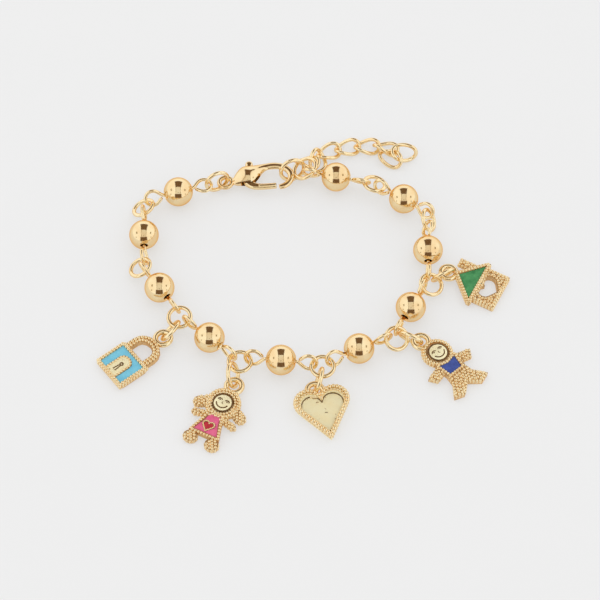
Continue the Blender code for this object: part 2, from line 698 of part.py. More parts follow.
def build_clasp(frame):
    """The cast body with its eye and hook, and the lever that turns on a pin in the body's slot."""
    module = CLASP_MODULE
    points = [(x * module, y * module, 0.0) for x, y, _ in CLASP_SPINE]
    radii = [share * module for _, _, share in CLASP_SPINE]
    name = "clasp_body"
    mesh = wire_mesh(name, points, radii, False, EIGHT_SIDES)
    mesh.transform(Matrix.Scale(CLASP_FLATNESS, 4, (0.0, 0.0, 1.0)))
    body = new_object(name, mesh, frame)
    eye_radius = (CLASP_EYE_DIAMETER - CLASP_EYE_WIRE) / 2
    eye = [(x, y, 0.0) for x, y in circle_points(eye_radius, RING_STEPS)]
    boolean(body, "UNION", "clasp_eye", wire_mesh("clasp_eye", eye, [CLASP_EYE_WIRE / 2] * RING_STEPS, True))
    slot = flat_mesh("clasp_slot", [scaled(SLOT_OUTLINE, module)], -SLOT_HEIGHT / 2, SLOT_HEIGHT / 2)
    boolean(body, "DIFFERENCE", "clasp_slot", slot)
    pivot = (PIVOT_PLACE[0] * module, PIVOT_PLACE[1] * module)
    pin = circle_points(PIVOT_PIN / 2, 10, *pivot)
    boolean(body, "UNION", "clasp_pin", flat_mesh("clasp_pin", [pin], -SLOT_HEIGHT, SLOT_HEIGHT))

    hinge = new_frame("lever_hinge", Matrix.Translation((*pivot, 0.0)), frame)
    outline = [(x * module - pivot[0], y * module - pivot[1]) for x, y in ribbon_points(LEVER_SPINE)]
    half = LEVER_THICKNESS / 2
    lever = plate("clasp_lever", hinge, outline, -half, half)
    knob_x, knob_y, _ = LEVER_SPINE[0]
    knob = circle_points(KNOB_DIAMETER / 2, 12, knob_x * module - pivot[0], knob_y * module - pivot[1])
    add_plate(lever, "lever_knob", [knob], -KNOB_HEIGHT / 2, KNOB_HEIGHT / 2)
    rod = [(x * module - pivot[0], y * module - pivot[1], 0.0) for x, y, _ in LEVER_SPINE[-3:]]
    rod_mesh = wire_mesh("lever_rod", rod, [GATE_ROD / 2] * len(rod), False, EIGHT_SIDES)
    boolean(lever, "UNION", "lever_rod", rod_mesh)
    hole = circle_points(PIVOT_HOLE / 2, 12)
    boolean(lever, "DIFFERENCE", "lever_hole", flat_mesh("lever_hole", [hole], -SLOT_HEIGHT, SLOT_HEIGHT))


def build_tail():
    """The extension chain: twisted oval links, each lying through the next."""
    half_length = (TAIL_LINK_LENGTH - TAIL_WIRE) / 2
    half_width = (TAIL_LINK_WIDTH - TAIL_WIRE) / 2
    turns = [2 * math.pi * step / RING_STEPS for step in range(RING_STEPS)]
    points = [
        (half_length * math.cos(turn), half_width * math.sin(turn), TAIL_LINK_TWIST * math.sin(2 * turn))
        for turn in turns
    ]
    for number, (x, y, z, heading, pitch, roll) in enumerate(TAIL_LINKS, start=1):
        name = f"tail_link_{number}"
        link = new_object(name, wire_curve(name, points, [TAIL_WIRE / 2] * RING_STEPS, True))
        along = heading_vector(heading, pitch)
        side = across_of(along)
        tip = math.radians(roll)
        side = math.cos(tip) * side + math.sin(tip) * along.cross(side)
        link.matrix_local = frame_matrix(Vector((x, y, z)) * PITCH, along, side)


def shade_smooth():
    """Round pieces shade smoothly, and their edges stay crisp."""
    for item in PARTS.objects:
        if item.type == "MESH":
            item.data.shade_smooth()
            item.data.set_sharp_from_angle(angle=math.radians(40))


def stand_on_origin(frame):
    """Shift everything so that the middle of its footprint is over the origin and it stands on Z = 0."""
    bpy.context.view_layer.update()
    graph = bpy.context.evaluated_depsgraph_get()
    low, high = Vector((1.0, 1.0, 1.0)), Vector((-1.0, -1.0, -1.0))
    for item in PARTS.objects:
        if item.type == "EMPTY":
            continue
        solid = item.evaluated_get(graph)
        mesh = solid.to_mesh()
        for vertex in mesh.vertices:
            place = solid.matrix_world @ vertex.co
            low = Vector(map(min, low, place))
            high = Vector(map(max, high, place))
        solid.to_mesh_clear()
    frame.location = (-(low.x + high.x) / 2, -(low.y + high.y) / 2, -low.z)


def main():
    loop_hubs = build_beads()
    build_charms(build_link_rings(loop_hubs))
    x, y, z, heading, pitch = CLASP_PLACE
    along = heading_vector(heading, pitch)
    eye = Vector((x, y, z)) * PITCH
    build_clasp(new_frame("clasp_frame", frame_matrix(eye, along, across_of(along))))
    for name, x, y, z, radius, lean, turn in CLASP_RINGS:
        axis = leaning_axis(Vector((1.0, 0.0, 0.0)), lean, turn)
        ring(name, Vector((x, y, z)) * PITCH, axis, radius, RING_WIRE)
    build_tail()
    whole = new_frame("bracelet_frame", Matrix())
    for item in [*PARTS.objects, *CUTTERS.objects]:
        if item.parent is None and item is not whole:
            item.parent = whole
    stand_on_origin(whole)
    shade_smooth()


main()
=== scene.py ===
"""Looks of a gold-coloured charm bracelet that lies closed on a pale surface.

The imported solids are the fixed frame. Round wires, beads and the clasp are replaced by smooth
surfaces at the same places; the cast charms keep their solids and get their beaded relief on top.
"""

import json
import logging
import math
from dataclasses import dataclass, field
from enum import Enum

import bmesh
import bpy
import numpy as np
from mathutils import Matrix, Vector

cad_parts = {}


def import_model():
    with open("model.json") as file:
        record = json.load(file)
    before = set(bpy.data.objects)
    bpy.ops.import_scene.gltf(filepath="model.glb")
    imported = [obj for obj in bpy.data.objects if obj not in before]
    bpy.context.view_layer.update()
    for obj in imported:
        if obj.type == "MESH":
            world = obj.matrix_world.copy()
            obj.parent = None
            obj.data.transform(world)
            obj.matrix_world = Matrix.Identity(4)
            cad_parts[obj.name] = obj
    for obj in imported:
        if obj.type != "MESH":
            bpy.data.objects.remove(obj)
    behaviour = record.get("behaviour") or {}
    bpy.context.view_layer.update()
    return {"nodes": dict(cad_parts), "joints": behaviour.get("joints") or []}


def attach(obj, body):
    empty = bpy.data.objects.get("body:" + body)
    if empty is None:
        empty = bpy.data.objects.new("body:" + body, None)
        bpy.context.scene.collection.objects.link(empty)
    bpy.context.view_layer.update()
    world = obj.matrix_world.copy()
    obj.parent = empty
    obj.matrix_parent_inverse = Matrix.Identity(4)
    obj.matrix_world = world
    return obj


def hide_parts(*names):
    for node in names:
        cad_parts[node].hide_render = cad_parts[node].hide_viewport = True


MM = 0.001
MODULE = 10.0 * MM
PITCH = 16.86 * MM
FIRST_BEAD = (0.440 * PITCH, 1.801 * PITCH, 3.0 * MM)
AIM_HEIGHT = 2.0 * MM
BODY = "bracelet"
LEVER_BODY = "lever"
TAU = 2 * math.pi
HALF_TURN_STEPS = 24
END_STEPS = 12
DOME_STEPS = 5
DOME_END = 0.97
WHITE = (1.0, 1.0, 1.0, 1.0)
BLACK = (0.0, 0.0, 0.0, 1.0)

log = logging.getLogger("bracelet")
Array = np.ndarray
Material = bpy.types.Material
Nodes = dict[str, bpy.types.Object]
Colour = tuple[float, float, float]
Row = tuple[Array, float, float]
Edge = tuple[Array, float]


def unit(vectors: Array) -> Array:
    """Vectors divided by their own lengths."""
    return vectors / np.linalg.norm(vectors, axis=-1, keepdims=True)


def turns(steps: int) -> Array:
    """Evenly spaced angles round a full turn."""
    return np.linspace(0.0, TAU, steps, endpoint=False)


def show(name: str, data: bpy.types.ID) -> bpy.types.Object:
    """Put new data into the scene as an object at the origin.

    Args:
        name: the object's name.
        data: its mesh or camera.

    Returns:
        The object.
    """
    item = bpy.data.objects.new(name, data)
    bpy.context.scene.collection.objects.link(item)
    return item


def heading_of(turn: float, rise: float) -> Array:
    """Unit direction at an angle from x in plan and an angle over the surface."""
    return np.array([math.cos(turn) * math.cos(rise), math.sin(turn) * math.cos(rise), math.sin(rise)])


def corners_of(node: bpy.types.Object) -> Array:
    """The distinct corners of a solid's mesh.

    Args:
        node: a solid of the frame.

    Returns:
        Its corners, one row each, in metres.
    """
    numbers = np.zeros(len(node.data.vertices) * 3, np.float32)
    node.data.vertices.foreach_get("co", numbers)
    return np.unique(numbers.reshape(-1, 3).astype(float).round(7), axis=0)


@dataclass(frozen=True)
class Place:
    """A right-handed frame: a middle point and three unit directions."""

    centre: Array
    x: Array
    y: Array
    z: Array

    def at(self, local: Array) -> Array:
        """Local points, in metres, carried into the bracelet's frame."""
        across = local[..., :1] * self.x + local[..., 1:2] * self.y
        return self.centre + across + local[..., 2:3] * self.z

    @classmethod
    def principal(cls, points: Array) -> "Place":
        """The frame of a cloud of points.

        Args:
            points: the cloud, one row each.

        Returns:
            The frame at its middle, with x along its longest spread and z along its shortest.
        """
        centre = points.mean(axis=0)
        spread = np.linalg.eigh(np.cov((points - centre).T))[1]
        return cls.facing(centre, spread[:, 2], spread[:, 1])

    @classmethod
    def facing(cls, centre: Array, x: Array, y: Array) -> "Place":
        """The frame with the given x and y directions."""
        return cls(centre, x, y, np.cross(x, y))


class Shell:
    """Closed surfaces gathered into one mesh."""

    ball_rings: int = 5
    ball_sides: int = 9
    sharp_angle: float = math.radians(50)

    def __init__(self, name: str) -> None:
        """Start an empty shell.

        Args:
            name: the name of its piece.
        """
        self.name = name
        self.points: list[Array] = []
        self.faces: list[tuple[int, ...]] = []
        self.count = 0

    def grid(self, points: Array, closed: bool = False) -> None:
        """Add a surface on a grid that closes round its second direction.

        Each face joins a corner to its neighbours along both directions. The first direction closes
        too, or ends in two flat faces.

        Args:
            points: grid of corners, shape (along, round, 3).
            closed: whether the last row joins the first.
        """
        rows, columns = points.shape[:2]
        row = np.arange(rows if closed else rows - 1)[:, None]
        column = np.arange(columns)[None, :]
        here, there = self.count + row * columns, self.count + (row + 1) % rows * columns
        beside = (column + 1) % columns
        quads = np.stack([here + column, there + column, there + beside, here + beside], axis=-1)
        self.faces.extend(map(tuple, quads.reshape(-1, 4).tolist()))
        if not closed:
            ring = range(self.count, self.count + columns)
            self.faces.append(tuple(ring))
            self.faces.append(tuple(index + (rows - 1) * columns for index in ring))
        self.points.append(points.reshape(-1, 3))
        self.count += rows * columns

    def balls(self, centres: Array, radius: float) -> None:
        """Add small balls: the same ball of a few dozen faces, shifted to each centre.

        Its profile is the cosine of a tilt from the axis and the sine of it along the axis.

        Args:
            centres: their middles, one row each.
            radius: their radius.
        """
        tilt = np.linspace(-math.pi / 2, math.pi / 2, self.ball_rings + 2)[1:-1, None]
        ball = swept(np.cos(tilt), turns(self.ball_sides), np.sin(tilt))
        for centre in centres:
            self.grid(centre + radius * ball)

    def mesh(self) -> bpy.types.Mesh:
        """The gathered surfaces as a smooth mesh.

        Returns:
            The mesh, with its faces outward and only its steep edges sharp.
        """
        mesh = bpy.data.meshes.new(self.name)
        mesh.from_pydata(np.concatenate(self.points).tolist(), [], self.faces)
        work = bmesh.new()
        work.from_mesh(mesh)
        bmesh.ops.recalc_face_normals(work, faces=work.faces)
        work.to_mesh(mesh)
        work.free()
        mesh.shade_smooth()
        mesh.set_sharp_from_angle(angle=self.sharp_angle)
        return mesh

    def piece(self, material: Material, replaced: str | None = None, body: str = BODY) -> bpy.types.Object:
        """Make the shell an object of the bracelet.

        Args:
            material: its finish.
            replaced: the solid that it stands for, if any.
            body: the CAD body it rides on.

        Returns:
            The finished piece.
        """
        mesh = self.mesh()
        mesh.materials.append(material)
        item = show(self.name, mesh)
        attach(item, body)
        if replaced:
            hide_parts(replaced)
        log.info("%s: %d faces", self.name, len(mesh.polygons))
        return item


def swept(reach: Array | float, spin: Array, height: Array, x: float = 0.0, y: float = 0.0) -> Array:
    """Turn a profile about an upright axis: reach times cosine and sine across, height up.

    Args:
        reach: distances from the axis, one row each.
        spin: angles round it.
        height: heights along it, one row each.
        x: where the axis is along x.
        y: where it is along y.

    Returns:
        Grid of corners, shape (rows, round, 3).
    """
    return np.stack([x + reach * np.cos(spin), y + reach * np.sin(spin), height + 0 * spin], axis=-1)


def wire(
    path: Array, radius: Array | float, normal: Array, closed: bool, sides: int = 14, lift: float = 1.0
) -> Array:
    """Surface of a round wire carried along a path.

    Each point is the path's point plus the radius times the cosine of the second parameter along the
    side direction and its sine along the lift direction. The side is square to the path and to the
    given normal, and the lift is square to both.

    Args:
        path: points of the middle line, shape (n, 3).
        radius: one radius or one for each point.
        normal: a direction that the path never runs along.
        closed: whether the path closes.
        sides: how many corners go round the wire.
        lift: how thick the wire is along its lift, as a share of its width.

    Returns:
        Grid of corners, shape (n, sides, 3).
    """
    if closed:
        run = unit(np.roll(path, -1, axis=0) - np.roll(path, 1, axis=0))
    else:
        run = unit(np.gradient(path, axis=0))
    side = unit(np.cross(normal, run))
    rise = np.cross(run, side)
    spin = turns(sides)[None, :, None]
    width = np.broadcast_to(np.asarray(radius, float), len(path))[:, None, None]
    across = np.cos(spin) * side[:, None, :] + lift * np.sin(spin) * rise[:, None, :]
    return path[:, None, :] + width * across


def ring_piece(
    name: str,
    path: Array,
    radius: float,
    normal: Array,
    material: Material,
    replaced: str | None = None,
    sides: int = 14,
) -> None:
    """Make a piece of one round wire that closes.

    Args:
        name: its name.
        path: points of its middle line.
        radius: the wire's radius.
        normal: a direction that the path never runs along.
        material: its finish.
        replaced: the solid that it stands for, if any.
        sides: how many corners go round the wire.
    """
    shell = Shell(name)
    shell.grid(wire(path, radius, normal, True, sides), closed=True)
    shell.piece(material, replaced)


def round_ends(path: Array, radii: Array, both: bool = True, bulge: float = 1.0) -> tuple[Array, Array]:
    """Lengthen a path by domes at its ends, which are half balls at a bulge of 1.

    The added points run on straight by the sine of an angle times the radius and the bulge, and their
    radii are its cosine times the radius.

    Args:
        path: points of the middle line.
        radii: one radius for each point.
        both: whether its start gets a dome as well as its end.
        bulge: how high the domes are, as a share of the radius.

    Returns:
        The longer path and its radii.
    """
    swing = np.linspace(0.0, math.pi / 2, DOME_STEPS + 1)[1:] * DOME_END
    rise = np.sin(swing)[:, None] * bulge * radii[-1]
    path = np.concatenate([path, path[-1] + rise * unit(path[-1] - path[-2])])
    radii = np.concatenate([radii, radii[-1] * np.cos(swing)])
    if both:
        path, radii = round_ends(path[::-1], radii[::-1], False, bulge)
        path, radii = path[::-1], radii[::-1]
    return path, radii


def lengths(line: Array) -> Array:
    """Length of a line from its start to each of its points."""
    return np.concatenate([[0.0], np.cumsum(np.linalg.norm(np.diff(line, axis=0), axis=1))])


def columns_at(values: Array, length: Array, wanted: Array) -> Array:
    """Each column of values, known at some lengths, by straight interpolation at the wanted ones."""
    return np.stack([np.interp(wanted, length, column) for column in values.T], axis=1)


def trim_end(path: Array, radii: Array, cut: float) -> tuple[Array, Array]:
    """Shorten a path at its end, with as many points as before.

    Args:
        path: points of the middle line.
        radii: one radius for each point.
        cut: how much to take off.

    Returns:
        The shorter path and its radii.
    """
    length = lengths(path)
    wanted = np.linspace(0.0, length[-1] - cut, len(path))
    return columns_at(path, length, wanted), np.interp(wanted, length, radii)


def resample(outline: Array, spacing: float, closed: bool = True) -> Array:
    """Evenly spaced points along an outline.

    Args:
        outline: its corners.
        spacing: about how far apart the points are.
        closed: whether the last corner joins the first.

    Returns:
        The points, without the first one again at the end of a closed outline.
    """
    ends = np.concatenate([outline, outline[:1]]) if closed else outline
    length = lengths(ends)
    count = max(int(round(length[-1] / spacing)), 2)
    return columns_at(ends, length, np.linspace(0.0, length[-1], count, endpoint=not closed))


def smooth_line(points: Array, steps: int) -> Array:
    """A smooth line through a few points, of any number of columns.

    Each span is the cubic whose slopes at its ends are half the difference of the neighbours.

    Args:
        points: the points, one row each.
        steps: how many points each span gets.

    Returns:
        The line's points.
    """
    padded = np.concatenate([2 * points[:1] - points[1:2], points, 2 * points[-1:] - points[-2:-1]])
    share = np.linspace(0.0, 1.0, steps, endpoint=False)[None, :, None]
    before, start, end, after = (padded[k : len(padded) - 3 + k, None, :] for k in range(4))
    line = 0.5 * (
        2 * start
        + (end - before) * share
        + (2 * before - 5 * start + 4 * end - after) * share**2
        + (3 * start - before - 3 * end + after) * share**3
    )
    return np.concatenate([line.reshape(-1, points.shape[1]), points[-1:]])


def flat(points: Array, height: float = 0.0) -> Array:
    """Plane points lifted to a height."""
    return np.concatenate([points, np.full((len(points), 1), height)], axis=1)


def inset(outline: Array, distance: float) -> Array:
    """Move a closed outline inwards: each corner goes along the mean of its two sides' normals.

    Args:
        outline: its corners.
        distance: how far each side moves; outwards where it is negative.

    Returns:
        The moved corners.
    """
    ahead = unit(np.roll(outline, -1, axis=0) - outline)
    behind = np.roll(ahead, 1, axis=0)
    following = np.roll(outline, -1, axis=0)
    area = np.sum(outline[:, 0] * following[:, 1] - following[:, 0] * outline[:, 1])
    turn = np.sign(area) * np.array([[0.0, 1.0], [-1.0, 0.0]])
    first, second = behind @ turn, ahead @ turn
    middle = unit(first + second + 1e-9)
    sharpest = 0.4
    return outline + distance * middle / np.maximum(np.sum(middle * first, axis=1, keepdims=True), sharpest)


def inside(outline: Array, points: Array) -> Array:
    """Which points lie inside an outline: their ray to the right crosses it an odd number of times.

    Args:
        outline: corners of the closed outline.
        points: the points, one row each.

    Returns:
        One truth value for each point.
    """
    start, end = outline, np.roll(outline, -1, axis=0)
    height = points[:, 1:2]
    spans = (start[None, :, 1] > height) != (end[None, :, 1] > height)
    rise = np.where(end[:, 1] == start[:, 1], 1e-12, end[:, 1] - start[:, 1])
    cross = start[:, 0] + (height - start[:, 1]) * (end[:, 0] - start[:, 0]) / rise
    return (spans & (points[:, :1] < cross)).sum(axis=1) % 2 == 1


def fill(outline: Array, spacing: float) -> Array:
    """Points of a honeycomb grid inside an outline, each a little off its place by a sine of its number.

    Args:
        outline: corners of the closed outline.
        spacing: how far apart the points are.

    Returns:
        The points, one row each.
    """
    low, high = outline.min(axis=0), outline.max(axis=0)
    rows = np.arange(low[1] + spacing / 2, high[1], spacing * math.sqrt(0.75))
    columns = np.arange(low[0], high[0] + spacing, spacing)
    x, y = np.meshgrid(columns, rows)
    x = x + (np.arange(len(rows)) % 2)[:, None] * spacing / 2
    points = np.stack([x.ravel(), y.ravel()], axis=1)
    points = points[inside(outline, points)]
    order = np.arange(len(points))[:, None]
    wobble = 0.09 * spacing
    return points + wobble * np.sin(order * np.array([[2.3, 3.7]]))


def arc(
    middle: tuple[float, float], across: float, up: float, first: float, last: float, steps: int
) -> Array:
    """An arc of an oval, with both of its ends.

    Args:
        middle: the oval's middle.
        across: its radius along x.
        up: its radius along y.
        first: the angle at which the arc starts.
        last: the angle at which it ends.
        steps: how many points it has.

    Returns:
        Its points, one row each.
    """
    spin = np.linspace(first, last, steps)
    return np.stack([middle[0] + across * np.cos(spin), middle[1] + up * np.sin(spin)], axis=1)


def circle(
    radius: float, x: float = 0.0, y: float = 0.0, height: float | None = None, steps: int = 48
) -> Array:
    """A circle, or an oval where a height radius is given."""
    return arc((x, y), radius, height or radius, 0.0, TAU, steps + 1)[:-1]


def arch(radius: float, height: float, y: float) -> Array:
    """Upper half of an oval, from its right end to its left end."""
    return arc((0.0, y), radius, height, 0.0, math.pi, HALF_TURN_STEPS)


def capsule(start: tuple[float, float], end: tuple[float, float], radius: float) -> Array:
    """Outline of a bar with round ends.

    Args:
        start: middle of its first end.
        end: middle of its last end.
        radius: radius of both ends.

    Returns:
        Its corners.
    """
    base = math.atan2(end[1] - start[1], end[0] - start[0])
    ends = ((end, base - math.pi / 2), (start, base + math.pi / 2))
    return np.concatenate([arc(at, radius, radius, turn, turn + math.pi, END_STEPS) for at, turn in ends])


def heart(width: float, top: float, cleft: float, tip: float, x: float = 0.0) -> Array:
    """Heart outline: two round lobes that meet at the cleft, and straight sides down to the tip.

    Args:
        width: its full width.
        top: height of its lobes' tops.
        cleft: height of the point between them.
        tip: height of its lowest point.
        x: where its middle is.

    Returns:
        Its corners.
    """
    half, rise = width / 2, top - cleft
    lobe = half + rise - math.sqrt(2 * half * rise)
    side, level = half - lobe, top - lobe
    first = math.atan2(cleft - level, -side)
    last = math.atan2(tip - level, -side) + math.acos(lobe / math.hypot(side, level - tip))
    if first < last:
        first += TAU
    right = arc((side, level), lobe, lobe, first, last, HALF_TURN_STEPS)
    left = right[:0:-1] * np.array([-1.0, 1.0])
    return np.concatenate([right, [[0.0, tip]], left]) + np.array([x, 0.0])


class Socket:
    """A shader value that can be used in Python expressions."""

    def __init__(self, shader: "Shader", link: bpy.types.NodeSocket) -> None:
        """Wrap an output of one of the shader's nodes."""
        self.shader = shader
        self.link = link

    def math(self, operation: str, *values: "Socket | float") -> "Socket":
        """A Math node of these values."""
        return self.shader.node("ShaderNodeMath", {"operation": operation}, dict(enumerate(values)))

    def __add__(self, other: "Socket | float") -> "Socket":
        """Sum of two values."""
        return self.math("ADD", self, other)

    def __mul__(self, other: "Socket | float") -> "Socket":
        """Product of two values."""
        return self.math("MULTIPLY", self, other)

    __radd__ = __add__
    __rmul__ = __mul__


class Shader:
    """A material and the few ways in which its nodes are made."""

    def __init__(self, name: str) -> None:
        """Start from a plain Principled material.

        Args:
            name: the material's name.
        """
        self.material = bpy.data.materials.new(name)
        self.material.use_nodes = True
        self.tree = self.material.node_tree
        self.surface = self.tree.nodes["Principled BSDF"]

    def node(
        self, kind: str, settings: dict[str, object], inputs: dict[str | int, object], output: str | int = 0
    ) -> Socket:
        """Make a node.

        Args:
            kind: its Blender type.
            settings: its properties, set first.
            inputs: its socket values or links, by name or number.
            output: the output that is wanted.

        Returns:
            That output.
        """
        made = self.tree.nodes.new(kind)
        for key, value in settings.items():
            setattr(made, key, value)
        for key, value in inputs.items():
            self.feed(made.inputs[key], value)
        return Socket(self, made.outputs[output])

    def feed(self, target: bpy.types.NodeSocket, value: object) -> None:
        """Link a socket, or set its own value.

        Args:
            target: the socket to feed.
            value: another node's output, or a plain value.
        """
        if isinstance(value, Socket):
            self.tree.links.new(value.link, target)
        else:
            target.default_value = value

    def coordinates(self) -> Socket:
        """Object coordinates, which are the bracelet's own metres."""
        return self.node("ShaderNodeTexCoord", {}, {}, "Object")

    def noise(self, scale: float, detail: float = 2.0, roughness: float = 0.5) -> Socket:
        """Cloudy noise between 0 and 1, with a scale in waves per metre."""
        values = {"Vector": self.coordinates(), "Scale": scale, "Detail": detail, "Roughness": roughness}
        return self.node("ShaderNodeTexNoise", {}, values)

    def cells(self, scale: float) -> Socket:
        """Distance to the nearest of scattered points, as on a grainy casting."""
        values = {"Vector": self.coordinates(), "Scale": scale}
        return self.node("ShaderNodeTexVoronoi", {"feature": "SMOOTH_F1"}, values)

    def ramp(self, value: Socket, low: float, high: float) -> Socket:
        """A value stretched so that low becomes 0 and high becomes 1."""
        return self.node("ShaderNodeMapRange", {}, {"Value": value, "From Min": low, "From Max": high})

    def blend(self, share: Socket, first: Colour | Socket, second: Colour) -> Socket:
        """Mix of two colours.

        Args:
            share: how much there is of the second one, from 0 to 1.
            first: a colour or another node's output.
            second: a colour.

        Returns:
            The mixed colour.
        """
        start = first if isinstance(first, Socket) else (*first, 1.0)
        values = {0: share, 6: start, 7: (*second, 1.0)}
        return self.node("ShaderNodeMix", {"data_type": "RGBA"}, values, 2)

    def relief(self, height: Socket, depth: float) -> Socket:
        """A bump whose full height is the given depth in metres."""
        values = {"Height": height, "Distance": depth, "Strength": 1.0}
        return self.node("ShaderNodeBump", {}, values, "Normal")

    def dress(self, **values: object) -> Material:
        """Feed the surface's sockets.

        Args:
            **values: values or other nodes' outputs by socket name, with underscores for its spaces.

        Returns:
            The finished material.
        """
        for key, value in values.items():
            self.feed(self.surface.inputs[key.replace("_", " ")], value)
        return self.material


class Casting(Enum):
    """How gold was worked, with how mirror-like it is and how much rougher than when polished."""

    POLISHED = (1.0, 0.0)
    GRAINED = (0.9, 0.02)
    CAST = (0.7, 0.2)


@dataclass(frozen=True)
class Gold:
    """Gold plating with a faint cloudiness, and a grain where it was cast."""

    name: str
    casting: Casting
    light: Colour = (0.94, 0.78, 0.48)
    deep: Colour = (0.88, 0.62, 0.32)
    rim: Colour = (1.0, 0.66, 0.36)
    gloss: float = 0.07
    dull: float = 0.16
    cloud_waves: float = 420.0
    scratch_waves: float = 5200.0
    scratch_depth: float = 0.0012 * MM
    grain_waves: float = 2100.0
    grain_depth: float = 0.05 * MM

    def material(self) -> Material:
        """Make the finish of this plating.

        Returns:
            Its material.
        """
        shader = Shader(self.name)
        cloud = shader.noise(self.cloud_waves, 3.0)
        height, depth = shader.noise(self.scratch_waves), self.scratch_depth
        if self.casting is Casting.CAST:
            height = shader.cells(self.grain_waves) * 0.7 + height * 0.3
            depth = self.grain_depth
        mirror, rougher = self.casting.value
        return shader.dress(
            Base_Color=shader.blend(shader.ramp(cloud, 0.3, 0.75), self.light, self.deep),
            Roughness=self.gloss + rougher + (self.dull - self.gloss) * cloud,
            Metallic=mirror,
            Specular_Tint=(*self.rim, 1.0),
            Normal=shader.relief(height, depth),
        )


@dataclass(frozen=True)
class Plate:
    """A polished cast plate with soft waves and a few dents."""

    name: str
    light: Colour = (1.0, 0.93, 0.62)
    deep: Colour = (0.98, 0.85, 0.50)
    dent: Colour = (0.40, 0.24, 0.10)
    depth: float = 0.10 * MM

    def material(self) -> Material:
        """Make the finish of this plate.

        Returns:
            Its material.
        """
        shader = Shader(self.name)
        waves = shader.noise(330.0, 3.0, 0.6)
        dents = shader.ramp(shader.noise(1500.0, 1.0), 0.70, 0.78)
        colour = shader.blend(shader.ramp(waves, 0.3, 0.75), self.light, self.deep)
        return shader.dress(
            Base_Color=shader.blend(dents, colour, self.dent),
            Roughness=0.4 + 0.1 * waves,
            Metallic=0.4,
            Normal=shader.relief(waves * 0.7 + dents * (-0.3), self.depth),
        )


@dataclass(frozen=True)
class EngravingAndPaintedShade:
    """Dark ground of lines: darkened metal in cut lines, and painted shadow where a line stands for one."""

    name: str
    light: Colour = (0.26, 0.14, 0.05)
    deep: Colour = (0.12, 0.06, 0.02)

    def material(self) -> Material:
        """Make the finish of the line.

        Returns:
            Its material.
        """
        shader = Shader(self.name)
        cloud = shader.noise(1200.0, 3.0)
        colour = shader.blend(cloud, self.light, self.deep)
        return shader.dress(Base_Color=colour, Roughness=0.35 + 0.2 * cloud, Metallic=0.7)


@dataclass(frozen=True)
class Enamel:
    """Glossy enamel whose colour is a little cloudy and darker in the deep."""

    name: str
    light: Colour
    deep: Colour
    depth: float = 0.03 * MM

    def material(self) -> Material:
        """Make the finish of this enamel.

        Returns:
            Its material.
        """
        shader = Shader(self.name)
        cloud = shader.noise(650.0, 4.0, 0.65)
        waves = shader.noise(700.0, 1.0)
        return shader.dress(
            Base_Color=shader.blend(shader.ramp(cloud, 0.32, 0.68), self.light, self.deep),
            Roughness=0.22 + 0.16 * cloud,
            Coat_Weight=0.7,
            Coat_Roughness=0.05,
            Normal=shader.relief(waves, self.depth),
        )


